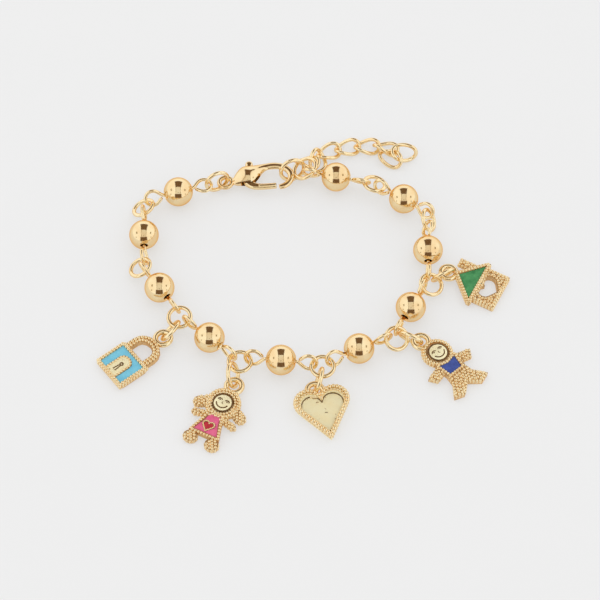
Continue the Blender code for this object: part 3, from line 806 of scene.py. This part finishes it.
@dataclass
class Beads:
    """The drilled balls and the eye pins that run through them."""

    gold: Material
    drawn: Material
    solid_radius: float = 3.0 * MM
    bead_radius: float = 2.985 * MM
    bore_radius: float = 0.75 * MM
    lip: float = 0.10 * MM
    pin_radius: float = 0.35 * MM
    pin_start: float = 1.2 * MM
    loop_radius: float = 1.55 * MM
    loop_drop: float = 2.25 * MM
    neck_gap: float = 0.2 * MM
    mouth: float = 0.62 * MM
    eye_from: float = 3.3 * MM
    spacing: float = 0.09 * MM
    rounding: int = 5
    sides: int = 64
    arc_steps: int = 57
    bore_steps: int = 9
    eye_steps: int = 49
    count: int = 10

    def profile(self) -> Array:
        """Cross-section of a drilled ball: its outside arc, a rounded lip at each end, and the bore.

        Returns:
            Its corners as distances from the bore's axis and heights along it.
        """
        limit = math.asin((self.bore_radius + self.lip) / self.bead_radius)
        swing = np.linspace(limit, math.pi - limit, self.arc_steps)
        outside = self.bead_radius * np.stack([np.sin(swing), np.cos(swing)], axis=1)
        end = self.bead_radius * math.cos(limit) - self.lip
        bore = np.linspace(-end, end, self.bore_steps)
        return np.concatenate([outside, np.stack([0 * bore + self.bore_radius, bore], axis=1)])

    def bead(self, name: str, place: Place) -> None:
        """Turn the cross-section about the bore: radius times cosine and sine across, height along it.

        Args:
            name: the solid that the ball stands for.
            place: its middle, with z along the bore.
        """
        radius, height = self.profile().T[:, :, None]
        shell = Shell(name + "_polished")
        shell.grid(place.at(swept(radius, turns(self.sides), height)), closed=True)
        shell.piece(self.gold, name)

    def loop_path(self, centre: Array, out: Array, lay: Array) -> Array:
        """Middle line from the bead's middle along the bore, over the neck and round the eye.

        The eye is an arc about its hub, joined to the neck by its tangent, and its end stops short of
        the neck. A short running mean rounds the bend at the neck.

        Args:
            centre: the bead's middle.
            out: direction along the bore.
            lay: direction across it, in the eye's plane.

        Returns:
            The line's points.
        """
        neck = centre + (self.solid_radius + self.neck_gap) * out
        hub = centre + (self.solid_radius + self.neck_gap + self.loop_drop) * out
        sweep = math.pi - math.acos(self.loop_radius / self.loop_drop)
        spin = np.linspace(sweep, -sweep, self.eye_steps)[:, None]
        eye = hub + self.loop_radius * (np.cos(spin) * out + np.sin(spin) * lay)
        end = neck + self.mouth * unit(eye[-1] - neck)
        line = np.concatenate([[centre + self.pin_start * out, neck], eye, [end]])
        line = resample(line, self.spacing, False)
        width = self.rounding
        padded = np.concatenate([np.repeat(line[:1], width, 0), line, np.repeat(line[-1:], width, 0)])
        total = np.cumsum(np.concatenate([np.zeros((1, 3)), padded]), axis=0)
        return ((total[2 * width + 1 :] - total[: -2 * width - 1]) / (2 * width + 1))[: len(line) - 1]

    def pin(self, name: str, node: bpy.types.Object, place: Place) -> None:
        """Both halves of a pin, in the planes in which the solid's eyes lie.

        Args:
            name: the solid that the pin stands for.
            node: that solid.
            place: the bead's middle, with x along the bore.
        """
        corners = corners_of(node) - place.centre
        shell = Shell(name + "_wire")
        for out in (place.x, -place.x):
            eye = corners[corners @ out > self.eye_from]
            across = eye - (eye @ out)[:, None] * out
            lay = unit(np.linalg.eigh(across.T @ across)[1][:, 2])
            if np.sum(across @ lay) > 0:
                lay = -lay
            path = self.loop_path(place.centre, out, lay)
            path, radii = round_ends(path, np.full(len(path), self.pin_radius), both=False)
            shell.grid(wire(path, radii, np.cross(out, lay), False))
        shell.piece(self.drawn, name)

    def build(self, nodes: Nodes) -> None:
        """Build every bead and its pin.

        Args:
            nodes: the solids of the frame.
        """
        for number in range(1, self.count + 1):
            name, pin = f"bead_{number:02d}", f"eye_pin_{number:02d}"
            place = Place.principal(corners_of(nodes[name]))
            self.bead(name, Place(place.centre, place.y, place.z, place.x))
            self.pin(pin, nodes[pin], place)


@dataclass
class Rings:
    """Round rings: the links between the pins, the charms' rings and the three at the clasp."""

    gold: Material
    wire_radius: float = 0.4 * MM
    steps: int = 64

    def build(self, nodes: Nodes) -> None:
        """Replace each ring by a smooth one about the same axis, its middle line as wide as the solid's.

        Args:
            nodes: the solids of the frame.
        """
        for name in sorted(name for name in nodes if "ring" in name):
            corners = corners_of(nodes[name])
            place = Place.principal(corners)
            offset = corners - place.centre
            level = offset - (offset @ place.z)[:, None] * place.z
            radius = np.linalg.norm(level, axis=1).max() - self.wire_radius
            path = place.at(radius * flat(circle(1.0, steps=self.steps)))
            ring_piece(name + "_round", path, self.wire_radius, place.z, self.gold, name)


@dataclass
class TailChain:
    """The extension chain of oval links, each twisted so that it lies through the next."""

    gold: Material
    wire_radius: float = 0.39 * MM
    half_length: float = 2.5 * MM
    half_width: float = 1.65 * MM
    twist: float = 0.62 * MM
    count: int = 8
    steps: int = 72

    def build(self, nodes: Nodes) -> None:
        """Carry the wire round an oval that rises and falls twice on its way.

        Args:
            nodes: the solids of the frame.
        """
        spin = turns(self.steps)
        oval = [self.half_length * np.cos(spin), self.half_width * np.sin(spin)]
        local = np.stack([*oval, self.twist * np.sin(2 * spin)], axis=1)
        for number in range(1, self.count + 1):
            name = f"tail_link_{number}"
            place = Place.principal(corners_of(nodes[name]))
            ring_piece(name + "_oval", place.at(local), self.wire_radius, place.z, self.gold, name)


def table(*rows: tuple[float, ...]) -> Array:
    """A dataclass field of these rows as an array."""
    return field(default_factory=lambda: np.array(rows))


@dataclass
class Clasp:
    """The lobster clasp: a cast body with an eye and a hook, and its lever.

    Its outlines are in shares of MODULE, from the eye's middle. Each row of a spine holds x, y and
    the half width there.
    """

    gold: Material
    pivot: Array
    heading: float = 5.5
    pitch: float = 2.2
    eye_radius: float = 1.3 * MM
    eye_wire: float = 0.46 * MM
    pin_radius: float = 0.4 * MM
    pin_half: float = 1.41 * MM
    pivot_place: tuple[float, float] = (0.445, 0.067)
    slot_half: float = 0.6 * MM
    flatness: float = 0.7
    knob_radius: float = 0.8 * MM
    knob_half: float = 0.53 * MM
    knob_flat: float = 0.12
    rod_radius: float = 0.6 * MM
    dome: float = 0.3
    lever_half: float = 0.5 * MM
    lever_rounding: float = 0.6
    sharp_angle: float = math.radians(35)
    spine_steps: int = 8
    lever_steps: int = 6
    body_sides: int = 32
    eye_sides: int = 18
    pin_sides: int = 24
    bar_sides: int = 24
    rod_sides: int = 20
    knob_sides: int = 28
    knob_rings: int = 15
    spine: Array = table(
        (0.135, 0.0, 0.062), (0.22, 0.01, 0.112), (0.33, 0.055, 0.184), (0.46, 0.115, 0.233),
        (0.59, 0.18, 0.188), (0.72, 0.25, 0.118), (0.86, 0.30, 0.08), (1.02, 0.31, 0.076),
        (1.17, 0.275, 0.074), (1.29, 0.19, 0.072), (1.355, 0.065, 0.07), (1.35, -0.06, 0.068),
        (1.29, -0.165, 0.066), (1.20, -0.23, 0.064), (1.09, -0.255, 0.06),
    )
    lever_spine: Array = table(
        (0.52, 0.40, 0.06), (0.505, 0.28, 0.06), (0.475, 0.17, 0.08), (0.445, 0.067, 0.11),
        (0.475, -0.05, 0.105), (0.55, -0.145, 0.08), (0.68, -0.195, 0.062), (0.86, -0.21, 0.058),
        (1.035, -0.21, 0.052),
    )
    slot: Array = table(
        (0.315, -0.3), (0.75, -0.3), (0.75, 0.09), (0.61, 0.16), (0.61, 0.52), (0.315, 0.52)
    )

    def place(self) -> Place:
        """The clasp's frame, found from its pivot.

        Returns:
            The frame with the eye at its origin, x towards the hook and z up.
        """
        turn = math.radians(self.heading)
        x = heading_of(turn, math.radians(self.pitch))
        y = np.array([-math.sin(turn), math.cos(turn), 0.0])
        px, py = self.pivot_place
        return Place.facing(Place.facing(self.pivot, x, y).at(np.array([-px, -py, 0.0]) * MODULE), x, y)

    def prism(self, name: str, outline: Array, half: float) -> bpy.types.Mesh:
        """A flat piece of an even thickness in the clasp's plane.

        Args:
            name: its name.
            outline: its corners, in metres from the eye's middle.
            half: half of its thickness.

        Returns:
            Its mesh.
        """
        shell = Shell(name)
        shell.grid(self.place().at(np.stack([flat(outline, -half), flat(outline, half)])))
        return shell.mesh()

    def carve(self, solid: bpy.types.Object) -> bpy.types.Mesh:
        """Cut the lever's slot out of the body.

        Args:
            solid: the body without its slot.

        Returns:
            The mesh of the body with it.
        """
        cutter = show("clasp_slot_cut", self.prism("clasp_slot_cut", self.slot * MODULE, self.slot_half))
        modifier = solid.modifiers.new("slot", "BOOLEAN")
        modifier.operation = "DIFFERENCE"
        modifier.solver = "EXACT"
        modifier.object = cutter
        bpy.context.view_layer.update()
        graph = bpy.context.evaluated_depsgraph_get()
        carved = bpy.data.meshes.new_from_object(solid.evaluated_get(graph))
        solid.modifiers.remove(modifier)
        bpy.data.objects.remove(cutter, do_unlink=True)
        return carved

    def body(self) -> None:
        """The body as one tapering wire with the lever's slot cut out, its round eye and its pin."""
        place = self.place()
        line = smooth_line(self.spine, self.spine_steps) * MODULE
        path, radii = trim_end(place.at(flat(line[:, :2])), line[:, 2], self.dome * line[-1, 2])
        path, radii = round_ends(path, radii, bulge=self.dome)
        shell = Shell("clasp_body_cast")
        shell.grid(wire(path, radii, place.z, False, self.body_sides, self.flatness))
        solid = shell.piece(self.gold, "clasp_body")
        carved = self.carve(solid)
        eye = Shell("clasp_eye")
        ring = place.at(flat(circle(self.eye_radius)))
        eye.grid(wire(ring, self.eye_wire, place.z, True, self.eye_sides), closed=True)
        px, py = np.array(self.pivot_place) * MODULE
        disc = circle(self.pin_radius, px, py, steps=self.pin_sides)
        joined = bmesh.new()
        for mesh in (carved, eye.mesh(), self.prism("clasp_pin", disc, self.pin_half)):
            joined.from_mesh(mesh)
        joined.to_mesh(carved)
        joined.free()
        solid.data = carved
        carved.materials.clear()
        carved.materials.append(self.gold)
        carved.set_sharp_from_angle(angle=self.sharp_angle)

    def lever(self) -> None:
        """The lever as a rounded bar along its spine, its gate rod and its thumb knob.

        The bar's section is a rounded square: the cosine and the sine raised to a power below 1,
        with their signs kept. The knob's radius is the square root of its tilt's cosine.
        """
        place = self.place()
        line = smooth_line(self.lever_spine, self.lever_steps) * MODULE
        path = place.at(flat(line[:, :2]))
        side = unit(np.cross(place.z, unit(np.gradient(path, axis=0))))
        spin = turns(self.bar_sides)[None, :, None]
        waves = (np.cos(spin), np.sin(spin))
        across, lift = (np.sign(wave) * np.abs(wave) ** self.lever_rounding for wave in waves)
        bar = path[:, None, :] + line[:, 2][:, None, None] * across * side[:, None, :]
        shell = Shell("clasp_lever_cast")
        shell.grid(bar + self.lever_half * lift * place.z)
        rod = place.at(flat(smooth_line(self.lever_spine[-3:, :2], self.lever_steps) * MODULE))
        rod, radii = trim_end(rod, np.full(len(rod), self.rod_radius), self.dome * self.rod_radius)
        rod, radii = round_ends(rod, radii, bulge=self.dome)
        shell.grid(wire(rod, radii, place.z, False, self.rod_sides))
        steep = math.pi / 2 - self.knob_flat
        tilt = np.linspace(-steep, steep, self.knob_rings)[:, None]
        reach, height = self.knob_radius * np.cos(tilt) ** 0.5, self.knob_half * np.sin(tilt)
        middle = self.lever_spine[0, :2] * MODULE
        shell.grid(place.at(swept(reach, turns(self.knob_sides), height, *middle)))
        shell.piece(self.gold, "clasp_lever", LEVER_BODY)


@dataclass
class Charm:
    """A cast charm: its frame hangs from its bail, with y up to the bail and z out of its face.

    Its outlines are in millimetres about its own axis, from the bail's middle.
    """

    name: str
    x: float
    y: float
    heading: float
    foot: float
    axis: float
    shift: Array
    gold: Material
    plate: Material
    # Finish of the dark lines: darkened cut lines, and painted shadow
    engraved_and_shaded: Material
    bail_height: float = 1.47 * MM
    bail_radius: float = 1.5 * MM
    bail_wire: float = 0.53 * MM
    bail_sides: int = 18
    front: float = 0.65 * MM
    rim_grain: float = 0.33 * MM
    rim_inset: float = 0.12
    rim_spacing: float = 0.66
    rim_levels: tuple[float, float] = (0.22, 0.72)
    stroke_sides: int = 10

    def place(self) -> Place:
        """The charm's frame, tipped so that its foot rests on the surface.

        Returns:
            The frame with the bail's middle at its origin.
        """
        bail = np.array([self.x * PITCH, self.y * PITCH, self.bail_height]) + self.shift
        reach = self.foot * MODULE
        tilt = math.asin(self.bail_height / math.hypot(reach, self.front)) - math.atan(self.front / reach)
        up = heading_of(math.radians(self.heading), tilt)
        side = -unit(np.array([-up[1], up[0], 0.0]))
        return Place.facing(bail, side, up)

    def line(self, points: Array, height: float = 0.0) -> Array:
        """The charm's plane points, at a height in millimetres over its face, in the bracelet's frame."""
        moved = points * MM + np.array([self.axis * MODULE, 0.0])
        return self.place().at(flat(moved, self.front + height * MM))

    def rows(self) -> list[Row]:
        """Rows of grains: the points of each, their height and their size."""
        return []

    def edges(self) -> list[Edge]:
        """Outlines whose rims are beaded: the points of each and their top's height."""
        return []

    def strokes(self) -> list[Row]:
        """Dark lines, cut ones and painted shadow: the points of each, their height and their half width.
        """
        return []

    def build(self) -> None:
        """Build the bail, the rows of grains and the dark lines, cut ones and painted shadow."""
        place = self.place()
        path = place.at(flat(circle(self.bail_radius)))
        ring_piece(f"{self.name}_bail", path, self.bail_wire, place.z, self.gold, sides=self.bail_sides)
        beading = Shell(f"{self.name}_beading")
        for points, height, size in self.rows():
            beading.balls(self.line(points, height), size * MM)
        for outline, top in self.edges():
            points = border(outline, self.rim_inset, self.rim_spacing)
            for below in self.rim_levels:
                beading.balls(self.line(points, top - below), self.rim_grain)
        beading.piece(self.gold)
        lines = self.strokes()
        if lines:
            # The dark lines include painted shadow, as the ring round a doll's face
            shell = Shell(f"{self.name}_engraving_and_painted_shade")
            for points, height, half in lines:
                path, radii = round_ends(self.line(points, height), np.full(len(points), half * MM))
                shell.grid(wire(path, radii, place.z, False, self.stroke_sides))
            shell.piece(self.engraved_and_shaded)


def border(outline: Array, depth: float, spacing: float = 0.68) -> Array:
    """Evenly spaced points along an outline moved inwards."""
    return resample(inset(outline, depth), spacing)


class Padlock(Charm):
    """A square padlock with a keyhole plate on a light blue field."""

    body: Array = np.array([(3.95, -13.2), (3.95, -6.5), (-3.95, -6.5), (-3.95, -13.2)])

    def plate_line(self, half: float, rise: float) -> Array:
        """Outline of the arched plate, from its right foot to its left one."""
        return np.concatenate([[(half, -12.7)], arch(half, rise, -9.2), [(-half, -12.7)]])

    def rows(self) -> list[Row]:
        """Grains round the body, along the shackle and round the keyhole plate.

        Returns:
            The rows.
        """
        rows = [(border(self.body, 0.36), -0.02, 0.37)]
        for reach, rise, spacing in ((3.0, 2.65, 0.68), (2.4, 1.9, 0.62)):
            bow = np.concatenate([[(reach, -6.6)], arch(reach, rise, -4.6), [(-reach, -6.6)]])
            rows.append((resample(bow, spacing, False), -0.12, 0.38))
        rows.append((resample(self.plate_line(1.4, 1.05), 0.56, False), 0.0, 0.28))
        return rows

    def edges(self) -> list[Edge]:
        """The rim of the body."""
        return [(self.body, 0.0)]

    def strokes(self) -> list[Row]:
        """The keyhole: a round hole over a widening slit.

        Returns:
            Its two lines.
        """
        hole = arc((0.0, -9.9), 0.3, 0.3, 0.0, TAU, 13)
        slit = np.array([(-0.16, -10.4), (-0.3, -11.7), (0.3, -11.7), (0.16, -10.4)])
        return [(hole, -0.02, 0.16), (slit, -0.02, 0.14)]

    def build(self) -> None:
        """The charm and the arched plate round its keyhole."""
        super().build()
        outline = self.plate_line(1.3, 1.0)
        shell = Shell(f"{self.name}_keyhole_plate")
        shell.grid(np.stack([self.line(outline, height) for height in (-0.3, 0.03)]))
        shell.piece(self.plate)


class Doll(Charm):
    """A doll with a round face in low relief."""

    face: tuple[float, float] = (0.0, 0.0)
    face_radius: float = 1.95
    face_rise: float = 0.28
    face_lift: float = 0.12
    face_sunk: float = 0.5
    face_rings: int = 9
    face_sides: int = 40

    def strokes(self) -> list[Row]:
        """A plain face: a dark ring of painted shadow round the sunk face, two arched eyes with dots, a
        short nose and a smile.

        Returns:
            Its lines.
        """
        x, y = self.face
        # The first line is the dark ring round the face: painted shadow of the rim round the sunk face
        lines = [(arc(self.face, 1.86, 1.86, 0.0, TAU, 41), 0.08, 0.17)]
        for side in (1, -1):
            eye = x + 0.75 * side
            lines.append((arc((eye, y + 0.3), 0.45, 0.4, 0.1 * math.pi, 0.9 * math.pi, 13), 0.3, 0.12))
            lines.append((np.array([(eye - 0.04, y + 0.36), (eye + 0.04, y + 0.36)]), 0.3, 0.15))
        lines.append((np.array([(x, y + 0.1), (x - 0.08, y - 0.25), (x + 0.14, y - 0.3)]), 0.36, 0.09))
        smile = arc((x, y - 0.05), 1.2, 1.1, 1.1 * math.pi, 1.9 * math.pi, 17)
        return [*lines, (smile, 0.2, 0.17)]

    def build(self) -> None:
        """The charm and a low dome for its face, whose height falls with the square of the radius."""
        super().build()
        share = np.linspace(1.0, 0.02, self.face_rings)[:, None]
        rise = self.front + self.face_rise * MM * (1 - share**2) + self.face_lift * MM
        middle = np.array(self.face) * MM + (self.axis * MODULE, 0.0)
        top = swept(self.face_radius * MM * share, turns(self.face_sides), rise, *middle)
        foot = top[:1].copy()
        foot[..., 2] = self.front - self.face_sunk * MM
        shell = Shell(f"{self.name}_face")
        shell.grid(self.place().at(np.concatenate([foot, top])))
        shell.piece(self.plate)


class Girl(Doll):
    """A girl with pigtails and spread arms in a pink dress with a red heart."""

    face: tuple[float, float] = (0.0, -4.6)
    dress: Array = np.array(
        [(1.7, -7.0), (-1.7, -7.0), (-2.1, -9.1), (-3.2, -12.4), (3.2, -12.4), (2.1, -9.1)]
    )

    def limbs(self) -> list[Array]:
        """Outlines of the pigtails, the arms and the feet.

        Returns:
            The outlines, those of the right side first.
        """
        shapes = []
        for side in (1, -1):
            shapes.append(capsule((2.6 * side, -4.95), (4.5 * side, -6.0), 1.0))
            shapes.append(capsule((1.4 * side, -7.65), (4.1 * side, -8.3), 0.55))
            shapes.append(circle(1.35, 2.3 * side, -13.5, 1.15))
        return shapes

    def rows(self) -> list[Row]:
        """Grains over the hair, pigtails, arms and feet, round the dress and round its heart.

        Returns:
            The rows.
        """
        return [
            (resample(circle(3.0, 0.0, -4.5), 0.68), -0.25, 0.4),
            (resample(circle(2.4, 0.0, -4.55), 0.6), -0.1, 0.33),
            *((fill(inset(shape, 0.1), 0.62), -0.2, 0.33) for shape in self.limbs()),
            (border(self.dress, 0.2, 0.62), 0.0, 0.31),
            (resample(heart(2.35, -9.28, -9.7, -11.4, -0.2), 0.3), -0.05, 0.17),
        ]

    def edges(self) -> list[Edge]:
        """The rims of the hair and the limbs."""
        return [(circle(3.3, 0.0, -4.5), -0.2), *((shape, -0.25) for shape in self.limbs())]


class Boy(Doll):
    """A boy with spread arms and legs in a blue shirt."""

    face: tuple[float, float] = (0.0, -4.2)
    face_radius: float = 1.98
    legs: Array = np.array(
        [(2.1, -9.6), (-2.1, -9.6), (-2.4, -11.2), (-4.3, -13.6), (-2.3, -14.3)]
        + [(0.0, -12.5), (2.3, -14.3), (4.3, -13.6), (2.4, -11.2)]
    )
    arm: Array = np.array([(2.0, -6.35), (5.4, -7.4), (4.4, -8.9), (2.0, -8.4)])
    shirt: Array = np.array(
        [(2.3, -6.3), (0.0, -6.85), (-2.3, -6.3), (-2.0, -8.0), (-1.75, -9.6), (1.75, -9.6), (2.0, -8.0)]
    )

    def rows(self) -> list[Row]:
        """Grains round the head, over the arms and trousers and round the shirt.

        Returns:
            The rows.
        """
        return [
            (resample(circle(2.62, 0.0, -4.05), 0.68), -0.2, 0.4),
            *((fill(inset(self.arm * (side, 1), 0.15), 0.62), -0.2, 0.33) for side in (1, -1)),
            (fill(inset(self.legs, 0.25), 0.64), -0.05, 0.34),
            (border(self.shirt, 0.05, 0.6), 0.0, 0.31),
        ]

    def edges(self) -> list[Edge]:
        """The rims of the head, the legs and the arms."""
        arms = [(self.arm, -0.2), (self.arm * (-1, 1), -0.2)]
        return [(circle(3.0, 0.0, -4.0), -0.2), (self.legs, -0.05), *arms]


class HeartCharm(Charm):
    """A broad heart with a rope border round a sunk plate."""

    def rows(self) -> list[Row]:
        """Two staggered rows of grains along the border."""
        outer, inner = heart(10.0, -0.15, -2.05, -10.42), heart(9.0, -0.75, -2.4, -9.9)
        return [(resample(outer, 0.76), 0.08, 0.43), (resample(inner, 0.62), 0.03, 0.3)]

    def edges(self) -> list[Edge]:
        """The rim of the heart."""
        return [(resample(heart(10.7, 0.2, -1.75, -10.9), 0.25), 0.0)]

    def strokes(self) -> list[Row]:
        """The dark line round the plate and two small dents in it.

        Returns:
            The lines.
        """
        outline = inset(resample(heart(8.4, -1.25, -2.75, -9.65), 0.2), 0.06)
        dents = (np.array([(0.1, -5.2), (0.5, -5.25)]), np.array([(1.6, -7.0), (1.8, -6.9)]))
        line = np.concatenate([outline, outline[:1]])
        return [(line, -0.4, 0.13), *((dent, -0.45, 0.08) for dent in dents)]


class House(Charm):
    """A house with a chimney, a green roof and a heart cut through its wall."""

    roof: Array = np.array([(0.0, -1.1), (-5.3, -6.1), (-5.3, -6.8), (5.3, -6.8), (5.3, -6.1)])
    wall: Array = np.array([(4.2, -6.9), (4.2, -11.4), (-4.2, -11.4), (-4.2, -6.9)])
    chimney: Array = np.array([(2.2, -1.0), (2.2, -3.4), (3.8, -4.8), (3.8, -1.0)])

    def rows(self) -> list[Row]:
        """Grains along the roof, chimney and walls and round the window.

        Returns:
            The rows.
        """
        window = resample(heart(5.0, -7.0, -7.8, -10.6), 0.2)
        wall = fill(inset(self.wall, 0.75), 0.62)
        return [
            (border(self.roof, 0.36, 0.66), 0.0, 0.35),
            (resample(inset(self.wall, 0.38), 0.66, False), -0.1, 0.36),
            (fill(inset(self.chimney, 0.25), 0.62), -0.15, 0.34),
            (border(window, -0.5, 0.62), -0.1, 0.31),
            (wall[~inside(inset(window, -0.75), wall)], -0.15, 0.32),
        ]

    def edges(self) -> list[Edge]:
        """The rims of the roof, the wall and the chimney."""
        return [(self.roof, 0.0), (self.wall, -0.1), (self.chimney, -0.15)]


@dataclass
class Charms:
    """The five charms and their enamels."""

    shift: Array
    # cast: the darker gold of the solids under the grains, which paints shade in the gaps between them
    cast: Material
    gold: Material
    engraved_and_shaded: Material

    def build(self, nodes: Nodes) -> None:
        """Dress the cast solids and build each charm's relief.

        The table gives each bail's middle in bead pitches, the way to the bail in degrees, how far
        the foot is from it and how far the charm's axis is beside it, both in shares of MODULE.

        Args:
            nodes: the solids of the frame.
        """
        places = [
            (Padlock, "padlock", -1.593, -0.527, 37.7, 1.32, 0.0),
            (Girl, "girl", -0.754, -1.192, 62.8, 1.47, 0.0),
            (HeartCharm, "heart", 0.170, -1.252, 103.5, 1.09, 0.07),
            (Boy, "boy", 1.407, -0.574, 131.0, 1.44, 0.06),
            (House, "house", 1.765, 0.422, 153.4, 1.14, 0.03),
        ]
        plate = Plate("plate_gold").material()
        for kind, name, *numbers in places:
            kind(name, *numbers, self.shift, self.gold, plate, self.engraved_and_shaded).build()
            # All solids but the heart's get the darker gold, which paints shade in the gaps between the
            # grains
            dress_node(nodes[f"charm_{name}"], plate if kind is HeartCharm else self.cast)
        enamels = {
            "padlock_enamel": Enamel("light_blue_enamel", (0.21, 0.60, 0.76), (0.15, 0.50, 0.68)),
            "dress_enamel": Enamel("pink_enamel", (0.80, 0.15, 0.29), (0.66, 0.08, 0.20)),
            "dress_heart_enamel": Enamel("red_enamel", (0.62, 0.03, 0.05), (0.45, 0.012, 0.03)),
            "shirt_enamel": Enamel("royal_blue_enamel", (0.06, 0.11, 0.42), (0.03, 0.06, 0.26)),
            "roof_enamel": Enamel("green_enamel", (0.09, 0.36, 0.13), (0.018, 0.19, 0.055)),
        }
        for name, finish in enamels.items():
            dress_node(nodes[name], finish.material())


def dress_node(node: bpy.types.Object, material: Material) -> None:
    """Give a solid of the frame its finish.

    Args:
        node: the solid.
        material: its finish.
    """
    for slot in node.material_slots:
        slot.material = material
    log.info("%s: dressed", node.name)


@dataclass
class Studio:
    """A pale surface in a bright light tent, and the camera at the photograph's angle."""

    target: Array
    elevation: float = 54.5
    distance: float = 446.0 * MM
    lens: float = 135.0
    sensor: float = 36.0
    tent: float = 1.08
    glow: float = 0.48
    half_floor: float = 3.0
    clip: tuple[float, float] = (0.01, 20.0)
    card_rows: int = 13
    card_columns: int = 5
    dark: Colour = (0.17, 0.105, 0.06)
    dim: Colour = (0.36, 0.26, 0.14)
    pale: Colour = (0.84, 0.82, 0.78)

    def card(self, name: str, spans: tuple[float, ...], colour: Colour, reach: float = 0.9) -> None:
        """A part of the tent's wall that only reflections see.

        Each point is the sine of its side angle across, and its cosine times the cosine and the sine
        of the rise towards the front and up.

        Args:
            name: the card's name.
            spans: its lowest and highest side angle and its lowest and highest rise over the front
                horizon, in degrees; the rise goes over the top to the back.
            colour: its glow.
            reach: how far it is from the bracelet, in metres.
        """
        left, right, low, high = spans
        rows, columns = self.card_rows, self.card_columns
        rise = np.radians(np.linspace(low, high, rows))[:, None]
        side = np.radians(np.linspace(left, right, columns))[None, :]
        wall = [np.sin(side) + 0 * rise, -np.cos(side) * np.cos(rise), np.cos(side) * np.sin(rise)]
        points = self.target + reach * np.stack(wall, axis=-1)
        corner = np.arange(rows - 1)[:, None] * columns + np.arange(columns - 1)[None, :]
        quads = np.stack([corner, corner + 1, corner + columns + 1, corner + columns], axis=-1)
        surface = Shader(name).dress(
            Base_Color=BLACK,
            Roughness=1.0,
            Specular_IOR_Level=0.0,
            Emission_Color=(*colour, 1.0),
            Emission_Strength=1.0,
        )
        item = self.stage(name, points.reshape(-1, 3).tolist(), quads.reshape(-1, 4).tolist(), surface)
        item.visible_camera = False
        item.visible_shadow = False
        item.visible_diffuse = False

    def stage(self, name: str, points: list, faces: list, material: Material) -> bpy.types.Object:
        """A thing of the studio, which isn't part of the bracelet.

        Args:
            name: its name.
            points: its corners.
            faces: its faces, as numbers of corners.
            material: its finish.

        Returns:
            The thing.
        """
        mesh = bpy.data.meshes.new(name)
        mesh.from_pydata(points, [], faces)
        mesh.materials.append(material)
        item = show(name, mesh)
        return item

    def floor(self) -> None:
        """A wide pale board, lit a little from below, with a barely visible mottle."""
        shader = Shader("pale_board")
        mottle = shader.noise(60.0, 3.0)
        material = shader.dress(
            Base_Color=shader.blend(mottle, (0.345, 0.345, 0.345), (0.335, 0.335, 0.335)),
            Roughness=0.9,
            Emission_Color=WHITE,
            Emission_Strength=self.glow,
        )
        half = self.half_floor
        corners = [(-half, -half, 0), (half, -half, 0), (half, half, 0), (-half, half, 0)]
        self.stage("board", corners, [(0, 1, 2, 3)], material)

    def cards(self) -> None:
        """The tent's gaps, its brighter strip with the lens in it, and the dim holes at both sides."""
        self.card("front_gap", (-26, 26, 0, 36), self.dark)
        self.card("top_gap", (-21, 21, 93, 148), self.dark)
        self.card("strip", (-17, 17, 36, 93), self.pale, 0.92)
        self.card("lens", (-2.5, 2.5, 45, 51), self.dark)
        holes = {"strip_edge": (17, 20, 36, 93), "hole": (50, 60, 66, 90), "low_hole": (56, 62, 14, 30)}
        for side in (1, -1):
            for name, (near, far, low, high) in holes.items():
                self.card(f"{name}_{side + 1}", (*sorted((near * side, far * side)), low, high), self.dim)

    def build(self) -> None:
        """Build the floor, the tent and the camera."""
        scene = bpy.context.scene
        scene.view_settings.view_transform = "Standard"
        scene.world = bpy.data.worlds.new("tent")
        scene.world.use_nodes = True
        background = scene.world.node_tree.nodes["Background"]
        background.inputs["Color"].default_value = WHITE
        background.inputs["Strength"].default_value = self.tent
        self.floor()
        self.cards()
        camera = bpy.data.cameras.new("camera")
        camera.lens = self.lens
        camera.sensor_width = self.sensor
        camera.clip_start, camera.clip_end = self.clip
        item = show("camera", camera)
        rise = math.radians(self.elevation)
        way = np.array([0.0, -math.cos(rise), math.sin(rise)])
        item.location = self.target + self.distance * way
        item.rotation_mode = "QUATERNION"
        item.rotation_quaternion = Vector((-way).tolist()).to_track_quat("-Z", "Y")
        scene.camera = item


def main() -> None:
    """Build the bracelet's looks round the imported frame."""
    logging.basicConfig(level=logging.INFO, format="%(message)s")
    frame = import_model()
    nodes = frame["nodes"]
    gold = Gold("polished_gold", Casting.POLISHED).material()
    pale = {"light": (0.98, 0.84, 0.54), "deep": (0.93, 0.70, 0.38)}
    drawn = Gold("drawn_gold", Casting.POLISHED, **pale).material()
    grained = Gold("grained_gold", Casting.GRAINED, **pale).material()
    # The solids under the grains get a darker orange than the grains on top: painted shade in the gaps
    # between the grains
    cast = Gold("cast_gold", Casting.CAST, (0.80, 0.55, 0.28), (0.58, 0.35, 0.15)).material()
    first_bead = corners_of(nodes["bead_01"]).mean(axis=0)
    shift = first_bead - FIRST_BEAD
    Beads(gold, drawn).build(nodes)
    Rings(drawn).build(nodes)
    TailChain(drawn).build(nodes)
    clasp = Clasp(gold, np.array(frame["joints"][0]["pos_m"]))
    clasp.body()
    clasp.lever()
    # Finish of the dark lines: darkened cut lines, and painted shadow round the dolls' faces
    engraved_and_shaded = EngravingAndPaintedShade("engraved_line").material()
    Charms(shift, cast, grained, engraved_and_shaded).build(nodes)
    Studio(shift + (0.0, 0.0, AIM_HEIGHT)).build()


if __name__ == "__main__":
    main()
